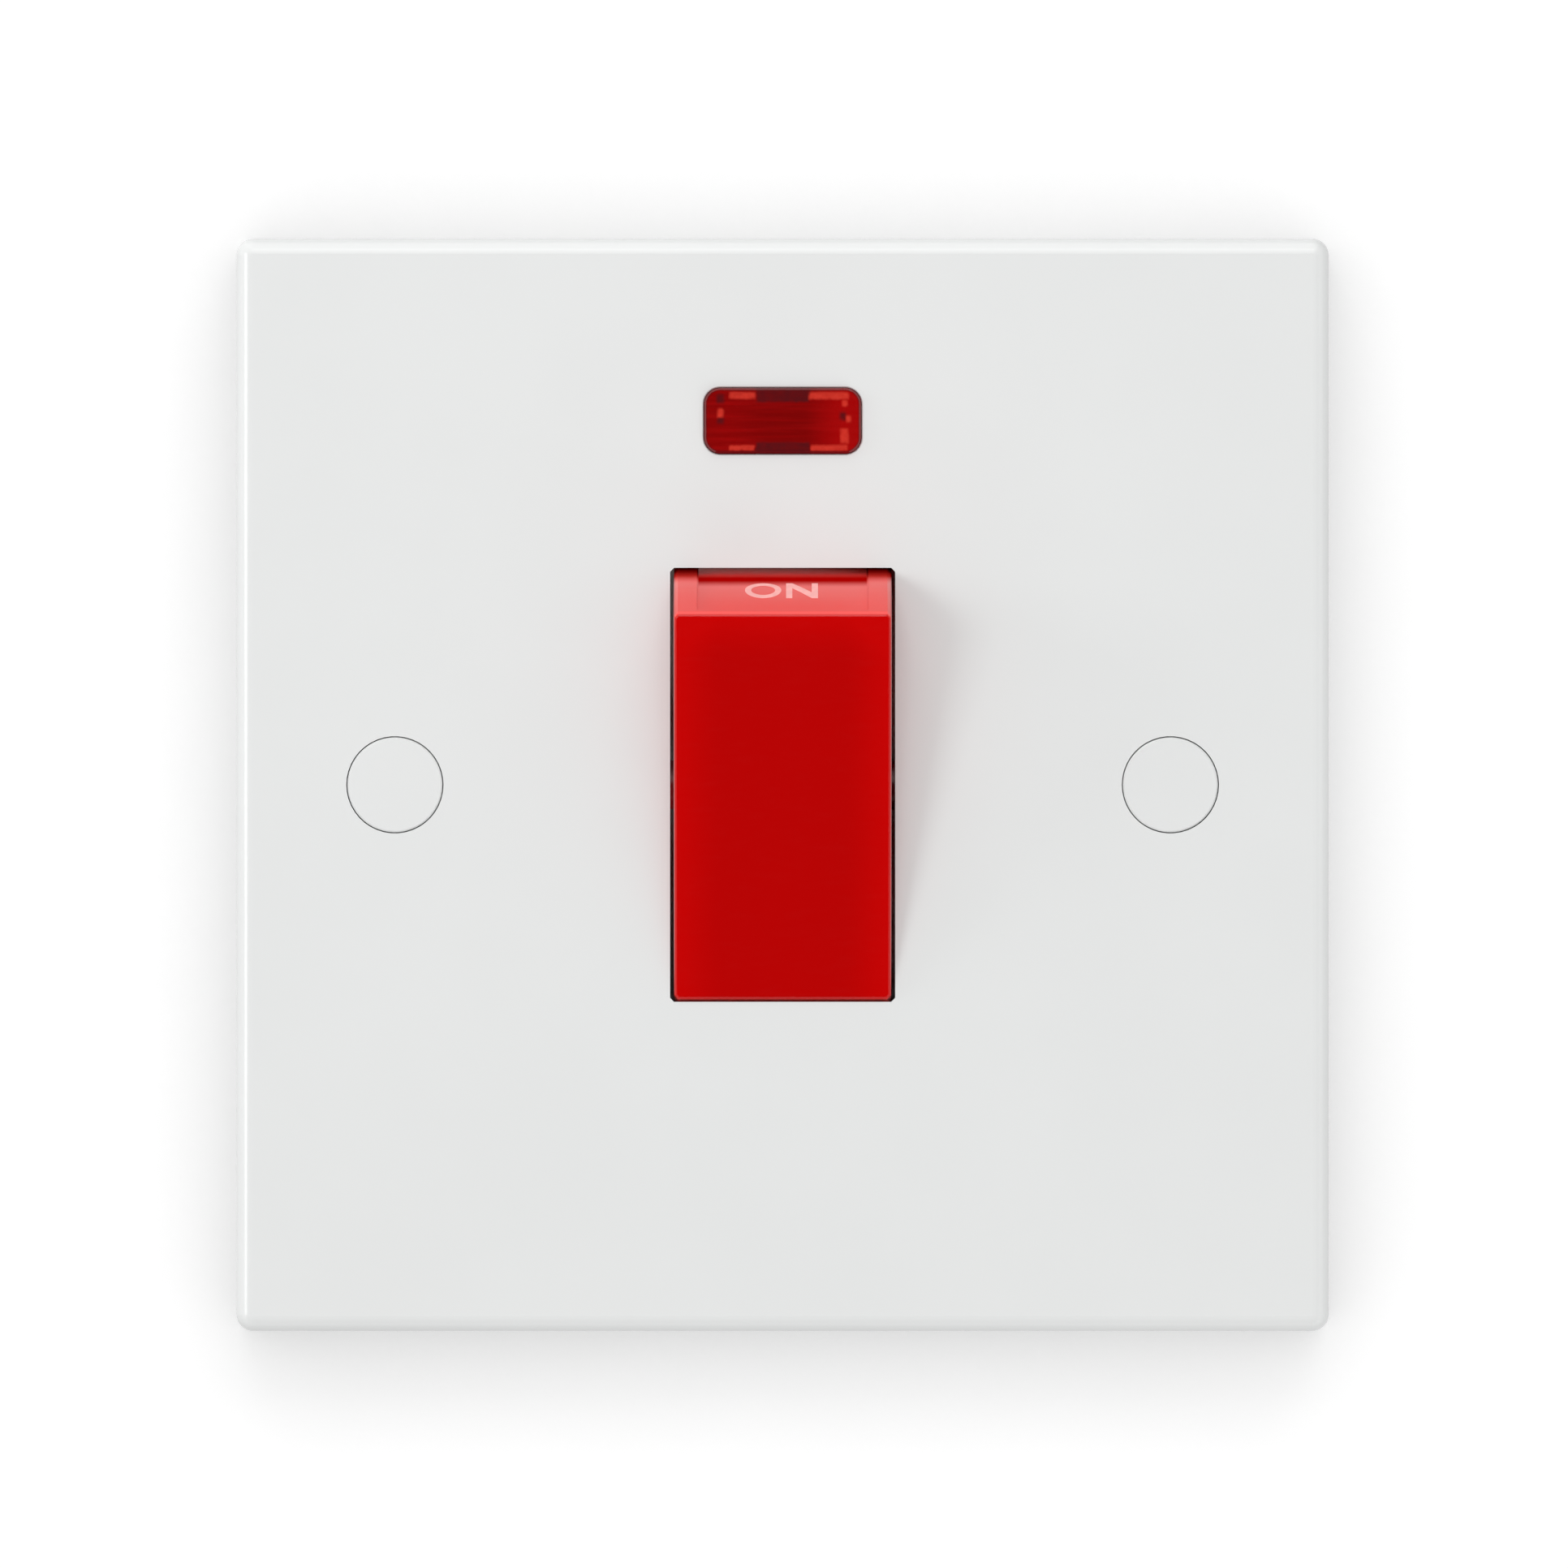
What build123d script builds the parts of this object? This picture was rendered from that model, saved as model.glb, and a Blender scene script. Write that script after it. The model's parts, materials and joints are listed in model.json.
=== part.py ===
from build123d import *
from math import acos, cos, degrees, hypot, isclose, radians, sin, sqrt, tan
import os

# Double pole wall switch with a rocker and a neon indicator, shown switched on.
# Millimetres. X to the right, Z up, the front faces -Y. The origin is the middle of the
# plate's rear plane, which lies on the wall. Depths are Y, so they grow into the wall.

os.makedirs("parts", exist_ok=True)

# Front plate
plate_width = 85.0
plate_height = 85.0
plate_depth = 8.0
plate_wall = 2.8
rim_wall = 2.0
front_edge_radius = 1.2
plate_corner_radius = front_edge_radius + 0.1
neon_window_edge = 0.08
window_corner = 0.3

# Fixing to the wall box and the caps over its screws
fixing_centres = 60.3
fixing_hole_radius = 2.1
fixing_head_radius = 3.5
fixing_head_depth = 4.4
fixing_boss_radius = 5.2
cap_radius = 3.70
cap_gap = 0.08
cap_thickness = 1.6
cap_edge = 0.12

# Rocker
rocker_width = 16.9
rocker_gap = 0.3
rocker_end_gap = 0.2
rocker_face_length = 30.4
rocker_face_distance = 8.35
rocker_tilt = 12.0
pivot_depth = 4.8
rocker_wall = 1.6
skirt_drop = 3.0
ridge_radius = 0.35
rocker_corner = 0.32
trunnion_radius = 1.9
trunnion_length = 2.3
trunnion_clearance = 0.05
label_width = 13.3
label_depth = 0.4
label_margin = 0.7
label_overrun = 1.0

# Sprung plungers in the rocker's legs
pole_offset = 5.0
leg_size = 5.4
leg_reach = 6.5
plunger_radius = 1.7
plunger_bevel = 0.9
plunger_clearance = 0.08
plunger_reach = 11.3
plunger_length = 9.0
spring_wire_radius = 0.25
spring_wire_side_count = 4
spring_turns = 4
spring_runs_per_turn = 8
spring_end_gap = 0.05

# See-saw contact arms
arm_tilt = 8.5
arm_width = 5.0
arm_thickness = 1.8
arm_seat = 2.0
arm_upper_end = 12.3
arm_lower_length = 9.5
arm_corner_radius = 0.4
fulcrum_radius = 1.0
fulcrum_clearance = 0.05
plunger_tip_gap = 0.05
contact_height = 10.2
contact_width = 3.6
contact_length = 3.4
contact_thickness = 0.9
contact_gap = 0.05
rest_pad_height = 7.6
rest_pad_size = 2.4

# Terminals and their clamp screws
terminal_width = 12.0
terminal_length = 10.6
terminal_end = 24.0
terminal_x = 8.5
terminal_front = 9.5
terminal_back = 20.0
terminal_edge = 0.4
cable_radius = 3.5
cable_depth = 14.3
cable_hole_length = 9.2
tongue_thickness = 1.6
load_tongue_end = 7.7
supply_tongue_end = 1.8
clamp_radius = 2.0
clamp_clearance = 0.05
clamp_length = 5.0
clamp_tip_gap = 0.25

# Mechanism frame and base
housing_width = 35.0
housing_height = 50.0
housing_corner_radius = 2.0
flange_front = 4.5
flange_thickness = 1.5
collar_gap = 0.1
collar_wall = 2.2
collar_end_wall = 1.5
stop_gap = 0.08
stop_length = 12.0
stop_width = 1.2
bay_inner = 1.3
bay_outer = 8.3
bay_half_height = 13.6
pad_width = 4.4
pad_height = 5.0
pad_gap = 0.05
pad_x = 5.2
base_floor = 2.0
base_back = 24.0
tower_width = 32.6
tower_height = 12.7
tower_inset = 0.5
chamber_wall = 1.7
chamber_floor = 1.8
pocket_gap = 0.15
well_size = 5.4
rear_edge = 0.6

# Screws that hold base and frame to the plate
housing_screw_radius = 1.45
housing_screw_clearance = 0.05
housing_hole_radius = 1.7
housing_head_radius = 2.7
housing_head_height = 2.0
housing_post_clearance = 0.65
housing_boss_height = 5.0
housing_screw_bite = 6.5
housing_pilot_depth = 8.0

# Neon indicator
neon_share = 0.333
lens_width = 12.2
lens_height = 5.1
lens_corner_radius = 1.25
lens_gap = 0.05
lens_proud = 0.3
lens_front_wall = 1.3
lens_side_wall = 1.0
lens_slot_width = 4.2
lens_flange = 1.1
lens_flange_thickness = 0.9
lens_edge = 0.15
lens_rib_count = 7
lens_rib_pitch = 0.42
lens_rib_width = 0.3
lens_rib_depth = 0.15
bulb_radius = 2.3
bulb_length = 11.2
bulb_wall = 0.4
bulb_pinch = 1.6
bulb_gap = 0.2
wire_radius = 0.27
wire_side_count = 6
wire_spacing = 1.6
wire_gap = 0.03
wire_inside = 7.4
wire_bend_x = 6.2
wire_bend_setback = 0.5
holder_width = 16.0
holder_height = 8.2
holder_wall = 1.0
holder_corner_radius = 0.8
cradle_x = 3.4
cradle_width = 1.0
cradle_gap = 0.05
hook_gap = 0.15
hook_wall = 1.5
hook_height = 5.0
hook_lip = 0.9
hook_lip_thickness = 0.6
lead_radius = 0.5
lead_bend_share = 0.8
lead_overlap = 0.6
lead_end_gap = 0.1
lead_clearance = 2.0
lead_inset = 1.5
lead_depth = 11.6
resistor_radius = 1.15
resistor_length = 6.4

# Levels that follow from the sizes above
plate_front = -plate_depth
plate_inside = plate_front + plate_wall
pivot_y = plate_front + pivot_depth
rocker_face_half = rocker_face_length / 2
end_radius = hypot(rocker_face_half, rocker_face_distance)
ridge_angle = degrees(acos(rocker_face_distance / end_radius))
skirt_angle = degrees(acos(-skirt_drop / end_radius))
window_radius = end_radius + rocker_end_gap
window_width = rocker_width + 2 * rocker_gap
plunger_bore_radius = plunger_radius + plunger_clearance
plunger_tip_radius = plunger_radius - plunger_bevel
wing_slope = tan(radians(arm_tilt))
plunger_seat = plunger_tip_radius * wing_slope + plunger_tip_gap / cos(radians(arm_tilt))
arm_valley_y = pivot_y + plunger_reach + plunger_seat
fulcrum_y = arm_valley_y + arm_seat
wing_front = fulcrum_y - arm_seat * cos(radians(arm_tilt))
wing_back = wing_front + arm_thickness
tongue_front = wing_back + 2 * contact_thickness + contact_gap
tongue_back = tongue_front + tongue_thickness
terminal_z = terminal_end - terminal_length / 2
collar_inner_half = window_width / 2 + collar_gap
collar_outer_half = collar_inner_half + collar_wall
housing_post_size = housing_width / 2 - collar_outer_half - housing_post_clearance
housing_screw_x = (housing_width - housing_post_size) / 2
base_front = flange_front + flange_thickness
neon_height = neon_share * plate_height
neon_window_width = lens_width + 2 * lens_gap
neon_window_height = lens_height + 2 * lens_gap
lens_front = plate_front - lens_proud
lens_flange_back = plate_inside + lens_flange_thickness
bulb_y = lens_flange_back + bulb_gap + bulb_radius
holder_back = bulb_y + bulb_radius + bulb_gap + holder_wall
resistor_y = (holder_back + flange_front) / 2
wire_end_y = resistor_y - lead_radius - wire_gap
poles = (("line", 1), ("neutral", -1))


def wall_plane(depth):
    """Plane parallel to the wall at a depth, its x along X and its y up, facing the front."""
    return Plane.XZ.offset(-depth)


def side_plane(depth, tilt):
    """Plane square to X through the axis at a depth, its x to the front, its y up, tilted."""
    turn = radians(tilt)
    return Plane(origin=(0, depth, 0), x_dir=(0, -cos(turn), -sin(turn)), z_dir=(-1, 0, 0))


def polar(radius, angle):
    """Point at a radius and an angle in degrees."""
    return (radius * cos(radians(angle)), radius * sin(radians(angle)))


rocker_side = side_plane(pivot_y, rocker_tilt)
rocker_forward = rocker_side.x_dir
rocker_pivot = rocker_side.origin


# Front plate
with BuildPart() as front_plate:
    with BuildSketch(wall_plane(0)):
        RectangleRounded(plate_width, plate_height, plate_corner_radius)
    extrude(amount=plate_depth)
    fillet(front_plate.faces().sort_by(Axis.Y)[0].edges(), front_edge_radius)
    with BuildSketch(wall_plane(0)):
        Rectangle(plate_width - 2 * rim_wall, plate_height - 2 * rim_wall)
    extrude(amount=plate_depth - plate_wall, mode=Mode.SUBTRACT)
    # Bosses for the fixing screws and posts for the housing screws
    with BuildSketch(wall_plane(0)):
        with Locations((-fixing_centres / 2, 0), (fixing_centres / 2, 0)):
            Circle(fixing_boss_radius)
    extrude(amount=-plate_inside)
    with BuildSketch(wall_plane(flange_front)):
        with GridLocations(2 * housing_screw_x, 0, 2, 1):
            Rectangle(housing_post_size, housing_post_size)
    extrude(amount=flange_front - plate_inside)
    with BuildSketch(wall_plane(flange_front)):
        with GridLocations(2 * housing_screw_x, 0, 2, 1):
            Circle(housing_screw_radius + housing_screw_clearance)
    extrude(amount=housing_pilot_depth, mode=Mode.SUBTRACT)
    # Stepped recesses: cap, screw head, screw
    with BuildSketch(wall_plane(plate_front)):
        with Locations((-fixing_centres / 2, 0), (fixing_centres / 2, 0)):
            Circle(cap_radius + cap_gap)
    extrude(amount=-cap_thickness, mode=Mode.SUBTRACT)
    with BuildSketch(wall_plane(plate_front)):
        with Locations((-fixing_centres / 2, 0), (fixing_centres / 2, 0)):
            Circle(fixing_head_radius)
    extrude(amount=-fixing_head_depth, mode=Mode.SUBTRACT)
    with BuildSketch(wall_plane(0)):
        with Locations((-fixing_centres / 2, 0), (fixing_centres / 2, 0)):
            Circle(fixing_hole_radius)
    extrude(amount=plate_depth, mode=Mode.SUBTRACT)
    # Rocker window, its ends round about the pivot so that the gap stays even
    with BuildSketch(side_plane(pivot_y, 0)):
        Circle(window_radius)
    extrude(amount=window_width / 2, both=True, mode=Mode.SUBTRACT)
    round_edges = front_plate.edges().filter_by(GeomType.CIRCLE)
    chamfer(round_edges.filter_by(lambda edge: isclose(edge.radius, window_radius)), window_corner)
    # Neon window
    with BuildSketch(wall_plane(plate_inside)):
        with Locations((0, neon_height)):
            RectangleRounded(neon_window_width, neon_window_height, lens_corner_radius + lens_gap)
    extrude(amount=plate_wall, mode=Mode.SUBTRACT)
    front_face = front_plate.faces().sort_by(Axis.Y)[0]
    neon_wire = front_face.inner_wires().sort_by(SortBy.LENGTH)[-2]
    chamfer(neon_wire.edges(), neon_window_edge)
    # Hooks that hold the neon holder
    hook_x = holder_width / 2 + hook_gap
    with BuildSketch(wall_plane(holder_back + hook_gap + hook_lip_thickness)):
        with Locations((-hook_x - hook_wall / 2, neon_height), (hook_x + hook_wall / 2, neon_height)):
            Rectangle(hook_wall, hook_height)
    extrude(amount=holder_back + hook_gap + hook_lip_thickness - plate_inside)
    with BuildSketch(wall_plane(holder_back + hook_gap + hook_lip_thickness)):
        with Locations((-hook_x + hook_lip / 2, neon_height), (hook_x - hook_lip / 2, neon_height)):
            Rectangle(hook_lip, hook_height)
    extrude(amount=hook_lip_thickness)
front_plate.part.label = "front_plate"
export_step(front_plate.part, "parts/front_plate.step")


# Caps over the fixing screws
with BuildPart() as screw_caps:
    with BuildSketch(wall_plane(plate_front + cap_thickness)):
        with Locations((-fixing_centres / 2, 0), (fixing_centres / 2, 0)):
            Circle(cap_radius)
    extrude(amount=cap_thickness)
    chamfer(screw_caps.faces().filter_by(Axis.Y).group_by(Axis.Y)[0].edges(), cap_edge)
screw_caps.part.label = "screw_caps"
export_step(screw_caps.part, "parts/screw_caps.step")


def rocker_section(face, radius, back):
    """Edges of a D about the pivot: flat face, round ends, flat back."""
    face_angle = degrees(acos(face / radius))
    back_angle = degrees(acos(back / radius))
    with BuildLine() as outline:
        Line(polar(radius, -face_angle), polar(radius, face_angle))
        CenterArc((0, 0), radius, face_angle, back_angle - face_angle)
        Line(polar(radius, back_angle), polar(radius, -back_angle))
        CenterArc((0, 0), radius, -back_angle, back_angle - face_angle)
    return outline.edges()


# Rocker, tilted about its pivot
with BuildPart() as rocker:
    with BuildSketch(rocker_side):
        make_face(rocker_section(rocker_face_distance, end_radius, -skirt_drop))
    extrude(amount=rocker_width / 2, both=True)
    chamfer(rocker.edges().filter_by(GeomType.CIRCLE), rocker_corner)
    fillet(rocker.faces().sort_by(Axis((0, 0, 0), rocker_forward))[-1].edges(), ridge_radius)
    with BuildSketch(rocker_side):
        inner_face = rocker_face_distance - rocker_wall
        make_face(rocker_section(inner_face, end_radius - rocker_wall, -skirt_drop))
    extrude(amount=rocker_width / 2 - rocker_wall, both=True, mode=Mode.SUBTRACT)
    # Recessed label panel on the upper end
    with BuildSketch(rocker_side):
        label_start = ridge_angle + degrees(label_margin / end_radius)
        label_end = skirt_angle + label_overrun
        label_floor = end_radius - label_depth
        label_top = end_radius + label_depth
        with BuildLine():
            Line(polar(label_floor, label_start), polar(label_top, label_start))
            CenterArc((0, 0), label_top, label_start, label_end - label_start)
            Line(polar(label_top, label_end), polar(label_floor, label_end))
            CenterArc((0, 0), label_floor, label_start, label_end - label_start)
        make_face()
    extrude(amount=label_width / 2, both=True, mode=Mode.SUBTRACT)
    # Legs for the plungers
    leg_plane = Plane(
        origin=rocker_pivot - rocker_forward * leg_reach,
        x_dir=(1, 0, 0),
        z_dir=rocker_forward,
    )
    with BuildSketch(leg_plane):
        with Locations((-pole_offset, 0), (pole_offset, 0)):
            Rectangle(leg_size, leg_size)
    extrude(amount=leg_reach + rocker_face_distance - rocker_wall / 2)
    with BuildSketch(leg_plane):
        with Locations((-pole_offset, 0), (pole_offset, 0)):
            Circle(plunger_bore_radius)
    extrude(amount=leg_reach + rocker_face_distance - 2 * rocker_wall, mode=Mode.SUBTRACT)
    # Trunnions
    with BuildSketch(rocker_side.offset(rocker_width / 2)):
        Circle(trunnion_radius)
    extrude(amount=trunnion_length)
    with BuildSketch(rocker_side.offset(-rocker_width / 2)):
        Circle(trunnion_radius)
    extrude(amount=-trunnion_length)
rocker.part.label = "rocker"
export_step(rocker.part, "parts/rocker.step")


# Plungers and their springs, along the rocker's legs
bore_floor = rocker_face_distance - 2 * rocker_wall
plunger_back = plunger_reach - plunger_length
spring_length = bore_floor + plunger_back - 2 * spring_end_gap
spring_radius = plunger_radius - 2 * spring_wire_radius
spring_rise = spring_length - 2 * spring_wire_radius
spring_runs = round(spring_turns * spring_runs_per_turn)
spring_origin = rocker_pivot - rocker_forward * (plunger_back - spring_end_gap - spring_wire_radius)
spring_plane = Plane(origin=spring_origin, x_dir=(1, 0, 0), z_dir=rocker_forward)
coil_points = [
    (*polar(spring_radius, 360 * run / spring_runs_per_turn), spring_rise * run / spring_runs)
    for run in range(spring_runs + 1)
]
plunger_tip = rocker_pivot - rocker_forward * plunger_reach
plunger_plane = Plane(origin=plunger_tip, x_dir=(1, 0, 0), z_dir=rocker_forward)
for pole, side in poles:
    with BuildPart() as plunger:
        with BuildSketch(plunger_plane):
            with Locations((side * pole_offset, 0)):
                Circle(plunger_radius)
        extrude(amount=plunger_length)
        chamfer(plunger.faces().sort_by(Axis((0, 0, 0), rocker_forward))[0].edges(), plunger_bevel)
    plunger.part.label = f"{pole}_plunger"
    export_step(plunger.part, f"parts/{pole}_plunger.step")

    spring_centre = Vector(side * pole_offset, 0, 0)
    with BuildPart() as spring:
        with BuildLine() as coil:
            Polyline(*[spring_plane.from_local_coords(point) + spring_centre for point in coil_points])
        with BuildSketch(Plane(origin=coil.line @ 0, z_dir=coil.line % 0)):
            RegularPolygon(spring_wire_radius, spring_wire_side_count)
        sweep(transition=Transition.RIGHT)
    spring.part.label = f"{pole}_spring"
    export_step(spring.part, f"parts/{pole}_spring.step")


# See-saw contact arms, bent so that the closed wing is parallel to the wall
arm_upper_length = (arm_upper_end - arm_seat * sin(radians(arm_tilt))) * cos(radians(arm_tilt))
arm_back = arm_seat - arm_thickness / cos(radians(arm_tilt))
for pole, side in poles:
    with BuildPart() as arm:
        with BuildSketch(side_plane(fulcrum_y, -arm_tilt).offset(-side * pole_offset)):
            Polygon(
                (arm_seat, 0),
                (arm_seat + arm_lower_length * wing_slope, -arm_lower_length),
                (arm_back + arm_lower_length * wing_slope, -arm_lower_length),
                (arm_back, 0),
                (arm_back + arm_upper_length * wing_slope, arm_upper_length),
                (arm_seat + arm_upper_length * wing_slope, arm_upper_length),
                align=None,
            )
            Circle(fulcrum_radius + fulcrum_clearance, mode=Mode.SUBTRACT)
        extrude(amount=arm_width / 2, both=True)
        arm_ends = arm.faces().sort_by(Axis.Z)
        end_edges = arm_ends[0].edges() + arm_ends[-1].edges()
        fillet(end_edges.filter_by(Axis.X, reverse=True), arm_corner_radius)
    arm.part.label = f"{pole}_contact_arm"
    export_step(arm.part, f"parts/{pole}_contact_arm.step")


# Silver contacts, the moving one on the arm and the fixed one on the load terminal's tongue
for pole, side in poles:
    with BuildPart() as moving_contact:
        with BuildSketch(wall_plane(wing_back + contact_thickness)):
            with Locations((side * pole_offset, contact_height)):
                Rectangle(contact_width, contact_length)
        extrude(amount=contact_thickness)
    moving_contact.part.label = f"{pole}_moving_contact"
    export_step(moving_contact.part, f"parts/{pole}_moving_contact.step")

    with BuildPart() as fixed_contact:
        with BuildSketch(wall_plane(tongue_front)):
            with Locations((side * pole_offset, contact_height)):
                Rectangle(contact_width, contact_length)
        extrude(amount=contact_thickness)
    fixed_contact.part.label = f"{pole}_fixed_contact"
    export_step(fixed_contact.part, f"parts/{pole}_fixed_contact.step")


# Terminals: a bored block with a tongue into the pole chamber
def terminal(side, end, tongue_end, fulcrum):
    """Terminal at the upper (1) or lower (-1) end, with or without the arm's fulcrum."""
    block_inner = end * (terminal_end - terminal_length)
    with BuildPart() as piece:
        with BuildSketch(wall_plane(terminal_back)):
            with Locations((side * terminal_x, end * terminal_z)):
                Rectangle(terminal_width, terminal_length)
        extrude(amount=terminal_back - terminal_front)
        chamfer(piece.edges().filter_by(Axis.Y), terminal_edge)
        with BuildSketch(Plane.XY.offset(end * terminal_end)):
            with Locations((side * terminal_x, cable_depth)):
                Circle(cable_radius)
        extrude(amount=-end * cable_hole_length, mode=Mode.SUBTRACT)
        with BuildSketch(wall_plane(terminal_back)):
            with Locations((side * terminal_x, end * terminal_z)):
                Circle(clamp_radius + clamp_clearance)
        extrude(amount=terminal_back - cable_depth, mode=Mode.SUBTRACT)
        with BuildSketch(wall_plane(tongue_back)):
            with Locations((side * pole_offset, (block_inner + tongue_end) / 2)):
                Rectangle(arm_width, abs(block_inner - tongue_end))
        extrude(amount=tongue_thickness)
        if fulcrum:
            with BuildSketch(side_plane(fulcrum_y, 0).offset(-side * pole_offset)):
                Circle(fulcrum_radius)
                with Locations(((fulcrum_y - tongue_front) / 2, 0)):
                    Rectangle(tongue_front - fulcrum_y, 2 * fulcrum_radius)
            extrude(amount=arm_width / 2, both=True)
            with BuildSketch(wall_plane(tongue_front)):
                with Locations((side * pole_offset, -rest_pad_height)):
                    Rectangle(rest_pad_size, rest_pad_size)
            extrude(amount=tongue_front - wing_back - contact_gap)
    return piece


for pole, side in poles:
    load_terminal = terminal(side, 1, load_tongue_end, False)
    load_terminal.part.label = f"{pole}_load_terminal"
    export_step(load_terminal.part, f"parts/{pole}_load_terminal.step")
    supply_terminal = terminal(side, -1, supply_tongue_end, True)
    supply_terminal.part.label = f"{pole}_supply_terminal"
    export_step(supply_terminal.part, f"parts/{pole}_supply_terminal.step")


# Clamp screws, backed off so that the cable holes are clear
clamp_tip = cable_depth + cable_radius + clamp_tip_gap
with BuildPart() as terminal_screws:
    with BuildSketch(wall_plane(clamp_tip + clamp_length)):
        with GridLocations(2 * terminal_x, 2 * terminal_z, 2, 2):
            Circle(clamp_radius)
    extrude(amount=clamp_length)
terminal_screws.part.label = "terminal_screws"
export_step(terminal_screws.part, "parts/terminal_screws.step")


# Frame: flange, collar round the rocker with bearing slots, rocker stops, terminal pads
collar_inner_height = window_radius + collar_gap
collar_outer_height = collar_inner_height + collar_end_wall
skirt_half = sqrt(end_radius**2 - skirt_drop**2)
skirt_deepest = pivot_y + skirt_drop * cos(radians(rocker_tilt)) + skirt_half * sin(radians(rocker_tilt))
stop_z = skirt_half * cos(radians(rocker_tilt)) - skirt_drop * sin(radians(rocker_tilt)) - stop_width / 2
with BuildPart() as mechanism_frame:
    with BuildSketch(wall_plane(base_front)):
        RectangleRounded(housing_width, housing_height, housing_corner_radius)
    extrude(amount=flange_thickness)
    with BuildSketch(wall_plane(flange_front)):
        Rectangle(2 * collar_outer_half, 2 * collar_outer_height)
        Rectangle(2 * collar_inner_half, 2 * collar_inner_height, mode=Mode.SUBTRACT)
    extrude(amount=flange_front - plate_inside)
    with BuildSketch(wall_plane(flange_front)):
        with GridLocations(0, 2 * stop_z, 1, 2):
            Rectangle(stop_length, stop_width)
    extrude(amount=flange_front - skirt_deepest - stop_gap)
    with BuildSketch(wall_plane(base_front)):
        with GridLocations(bay_inner + bay_outer, 0, 2, 1):
            Rectangle(bay_outer - bay_inner, 2 * bay_half_height)
        with GridLocations(2 * housing_screw_x, 0, 2, 1):
            Circle(housing_hole_radius)
    extrude(amount=flange_thickness, mode=Mode.SUBTRACT)
    slot_radius = trunnion_radius + trunnion_clearance
    with BuildSketch(side_plane(pivot_y, 0)):
        Circle(slot_radius)
        with Locations(((pivot_y - plate_inside) / 2, 0)):
            Rectangle(pivot_y - plate_inside, 2 * slot_radius)
    extrude(amount=collar_outer_half, both=True, mode=Mode.SUBTRACT)
    with BuildSketch(wall_plane(terminal_front - pad_gap)):
        with GridLocations(2 * pad_x, 2 * terminal_z, 2, 2):
            Rectangle(pad_width, pad_height)
    extrude(amount=terminal_front - pad_gap - base_front)
mechanism_frame.part.label = "mechanism_frame"
export_step(mechanism_frame.part, "parts/mechanism_frame.step")


# Base: floor, pole chambers, terminal towers, screw bosses
chamber_depth = tongue_back + pocket_gap
chamber_back = chamber_depth + chamber_floor
tower_z = housing_height / 2 - tower_inset - tower_height / 2
pocket_inner = terminal_end - terminal_length - pocket_gap
pocket_length = housing_height / 2 + tower_inset - pocket_inner
pocket_z = pocket_inner + pocket_length / 2
with BuildPart() as mechanism_base:
    with BuildSketch(wall_plane(base_front + base_floor)):
        RectangleRounded(housing_width, housing_height, housing_corner_radius)
    extrude(amount=base_floor)
    with BuildSketch(wall_plane(base_back)):
        with GridLocations(0, 2 * tower_z, 1, 2):
            Rectangle(tower_width, tower_height)
    extrude(amount=base_back - base_front)
    chamfer(mechanism_base.faces().filter_by(Axis.Y).group_by(Axis.Y)[-1].edges(), rear_edge)
    with BuildSketch(wall_plane(chamber_back)):
        Rectangle(2 * (bay_outer + chamber_wall), 2 * tower_z)
    extrude(amount=chamber_back - base_front)
    with BuildSketch(wall_plane(base_front + base_floor + housing_boss_height)):
        Rectangle(housing_width, housing_post_size)
    extrude(amount=base_floor + housing_boss_height)
    with BuildSketch(wall_plane(base_front + base_floor + housing_boss_height)):
        with GridLocations(2 * housing_screw_x, 0, 2, 1):
            Circle(housing_hole_radius)
    extrude(amount=base_floor + housing_boss_height, mode=Mode.SUBTRACT)
    # Pole chambers, with a barrier left between the poles
    with BuildSketch(wall_plane(chamber_depth)):
        with GridLocations(bay_inner + bay_outer, 0, 2, 1):
            Rectangle(bay_outer - bay_inner, 2 * bay_half_height)
    extrude(amount=chamber_depth - base_front, mode=Mode.SUBTRACT)
    # Terminal pockets, open at the cable ends, and wells for the clamp screws
    with BuildSketch(wall_plane(terminal_back)):
        with GridLocations(2 * terminal_x, 2 * pocket_z, 2, 2):
            Rectangle(terminal_width + 2 * pocket_gap, pocket_length)
    extrude(amount=terminal_back - base_front, mode=Mode.SUBTRACT)
    with BuildSketch(wall_plane(base_back)):
        with GridLocations(2 * terminal_x, 2 * terminal_z, 2, 2):
            Rectangle(well_size, well_size)
    extrude(amount=base_back - terminal_back, mode=Mode.SUBTRACT)
mechanism_base.part.label = "mechanism_base"
export_step(mechanism_base.part, "parts/mechanism_base.step")


# Screws through base and frame into the plate's posts
housing_head_front = base_front + base_floor + housing_boss_height
with BuildPart() as housing_screws:
    with BuildSketch(wall_plane(housing_head_front)):
        with GridLocations(2 * housing_screw_x, 0, 2, 1):
            Circle(housing_screw_radius)
    extrude(amount=housing_head_front - flange_front + housing_screw_bite)
    with BuildSketch(wall_plane(housing_head_front + housing_head_height)):
        with GridLocations(2 * housing_screw_x, 0, 2, 1):
            Circle(housing_head_radius)
    extrude(amount=housing_head_height)
housing_screws.part.label = "housing_screws"
export_step(housing_screws.part, "parts/housing_screws.step")


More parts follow.
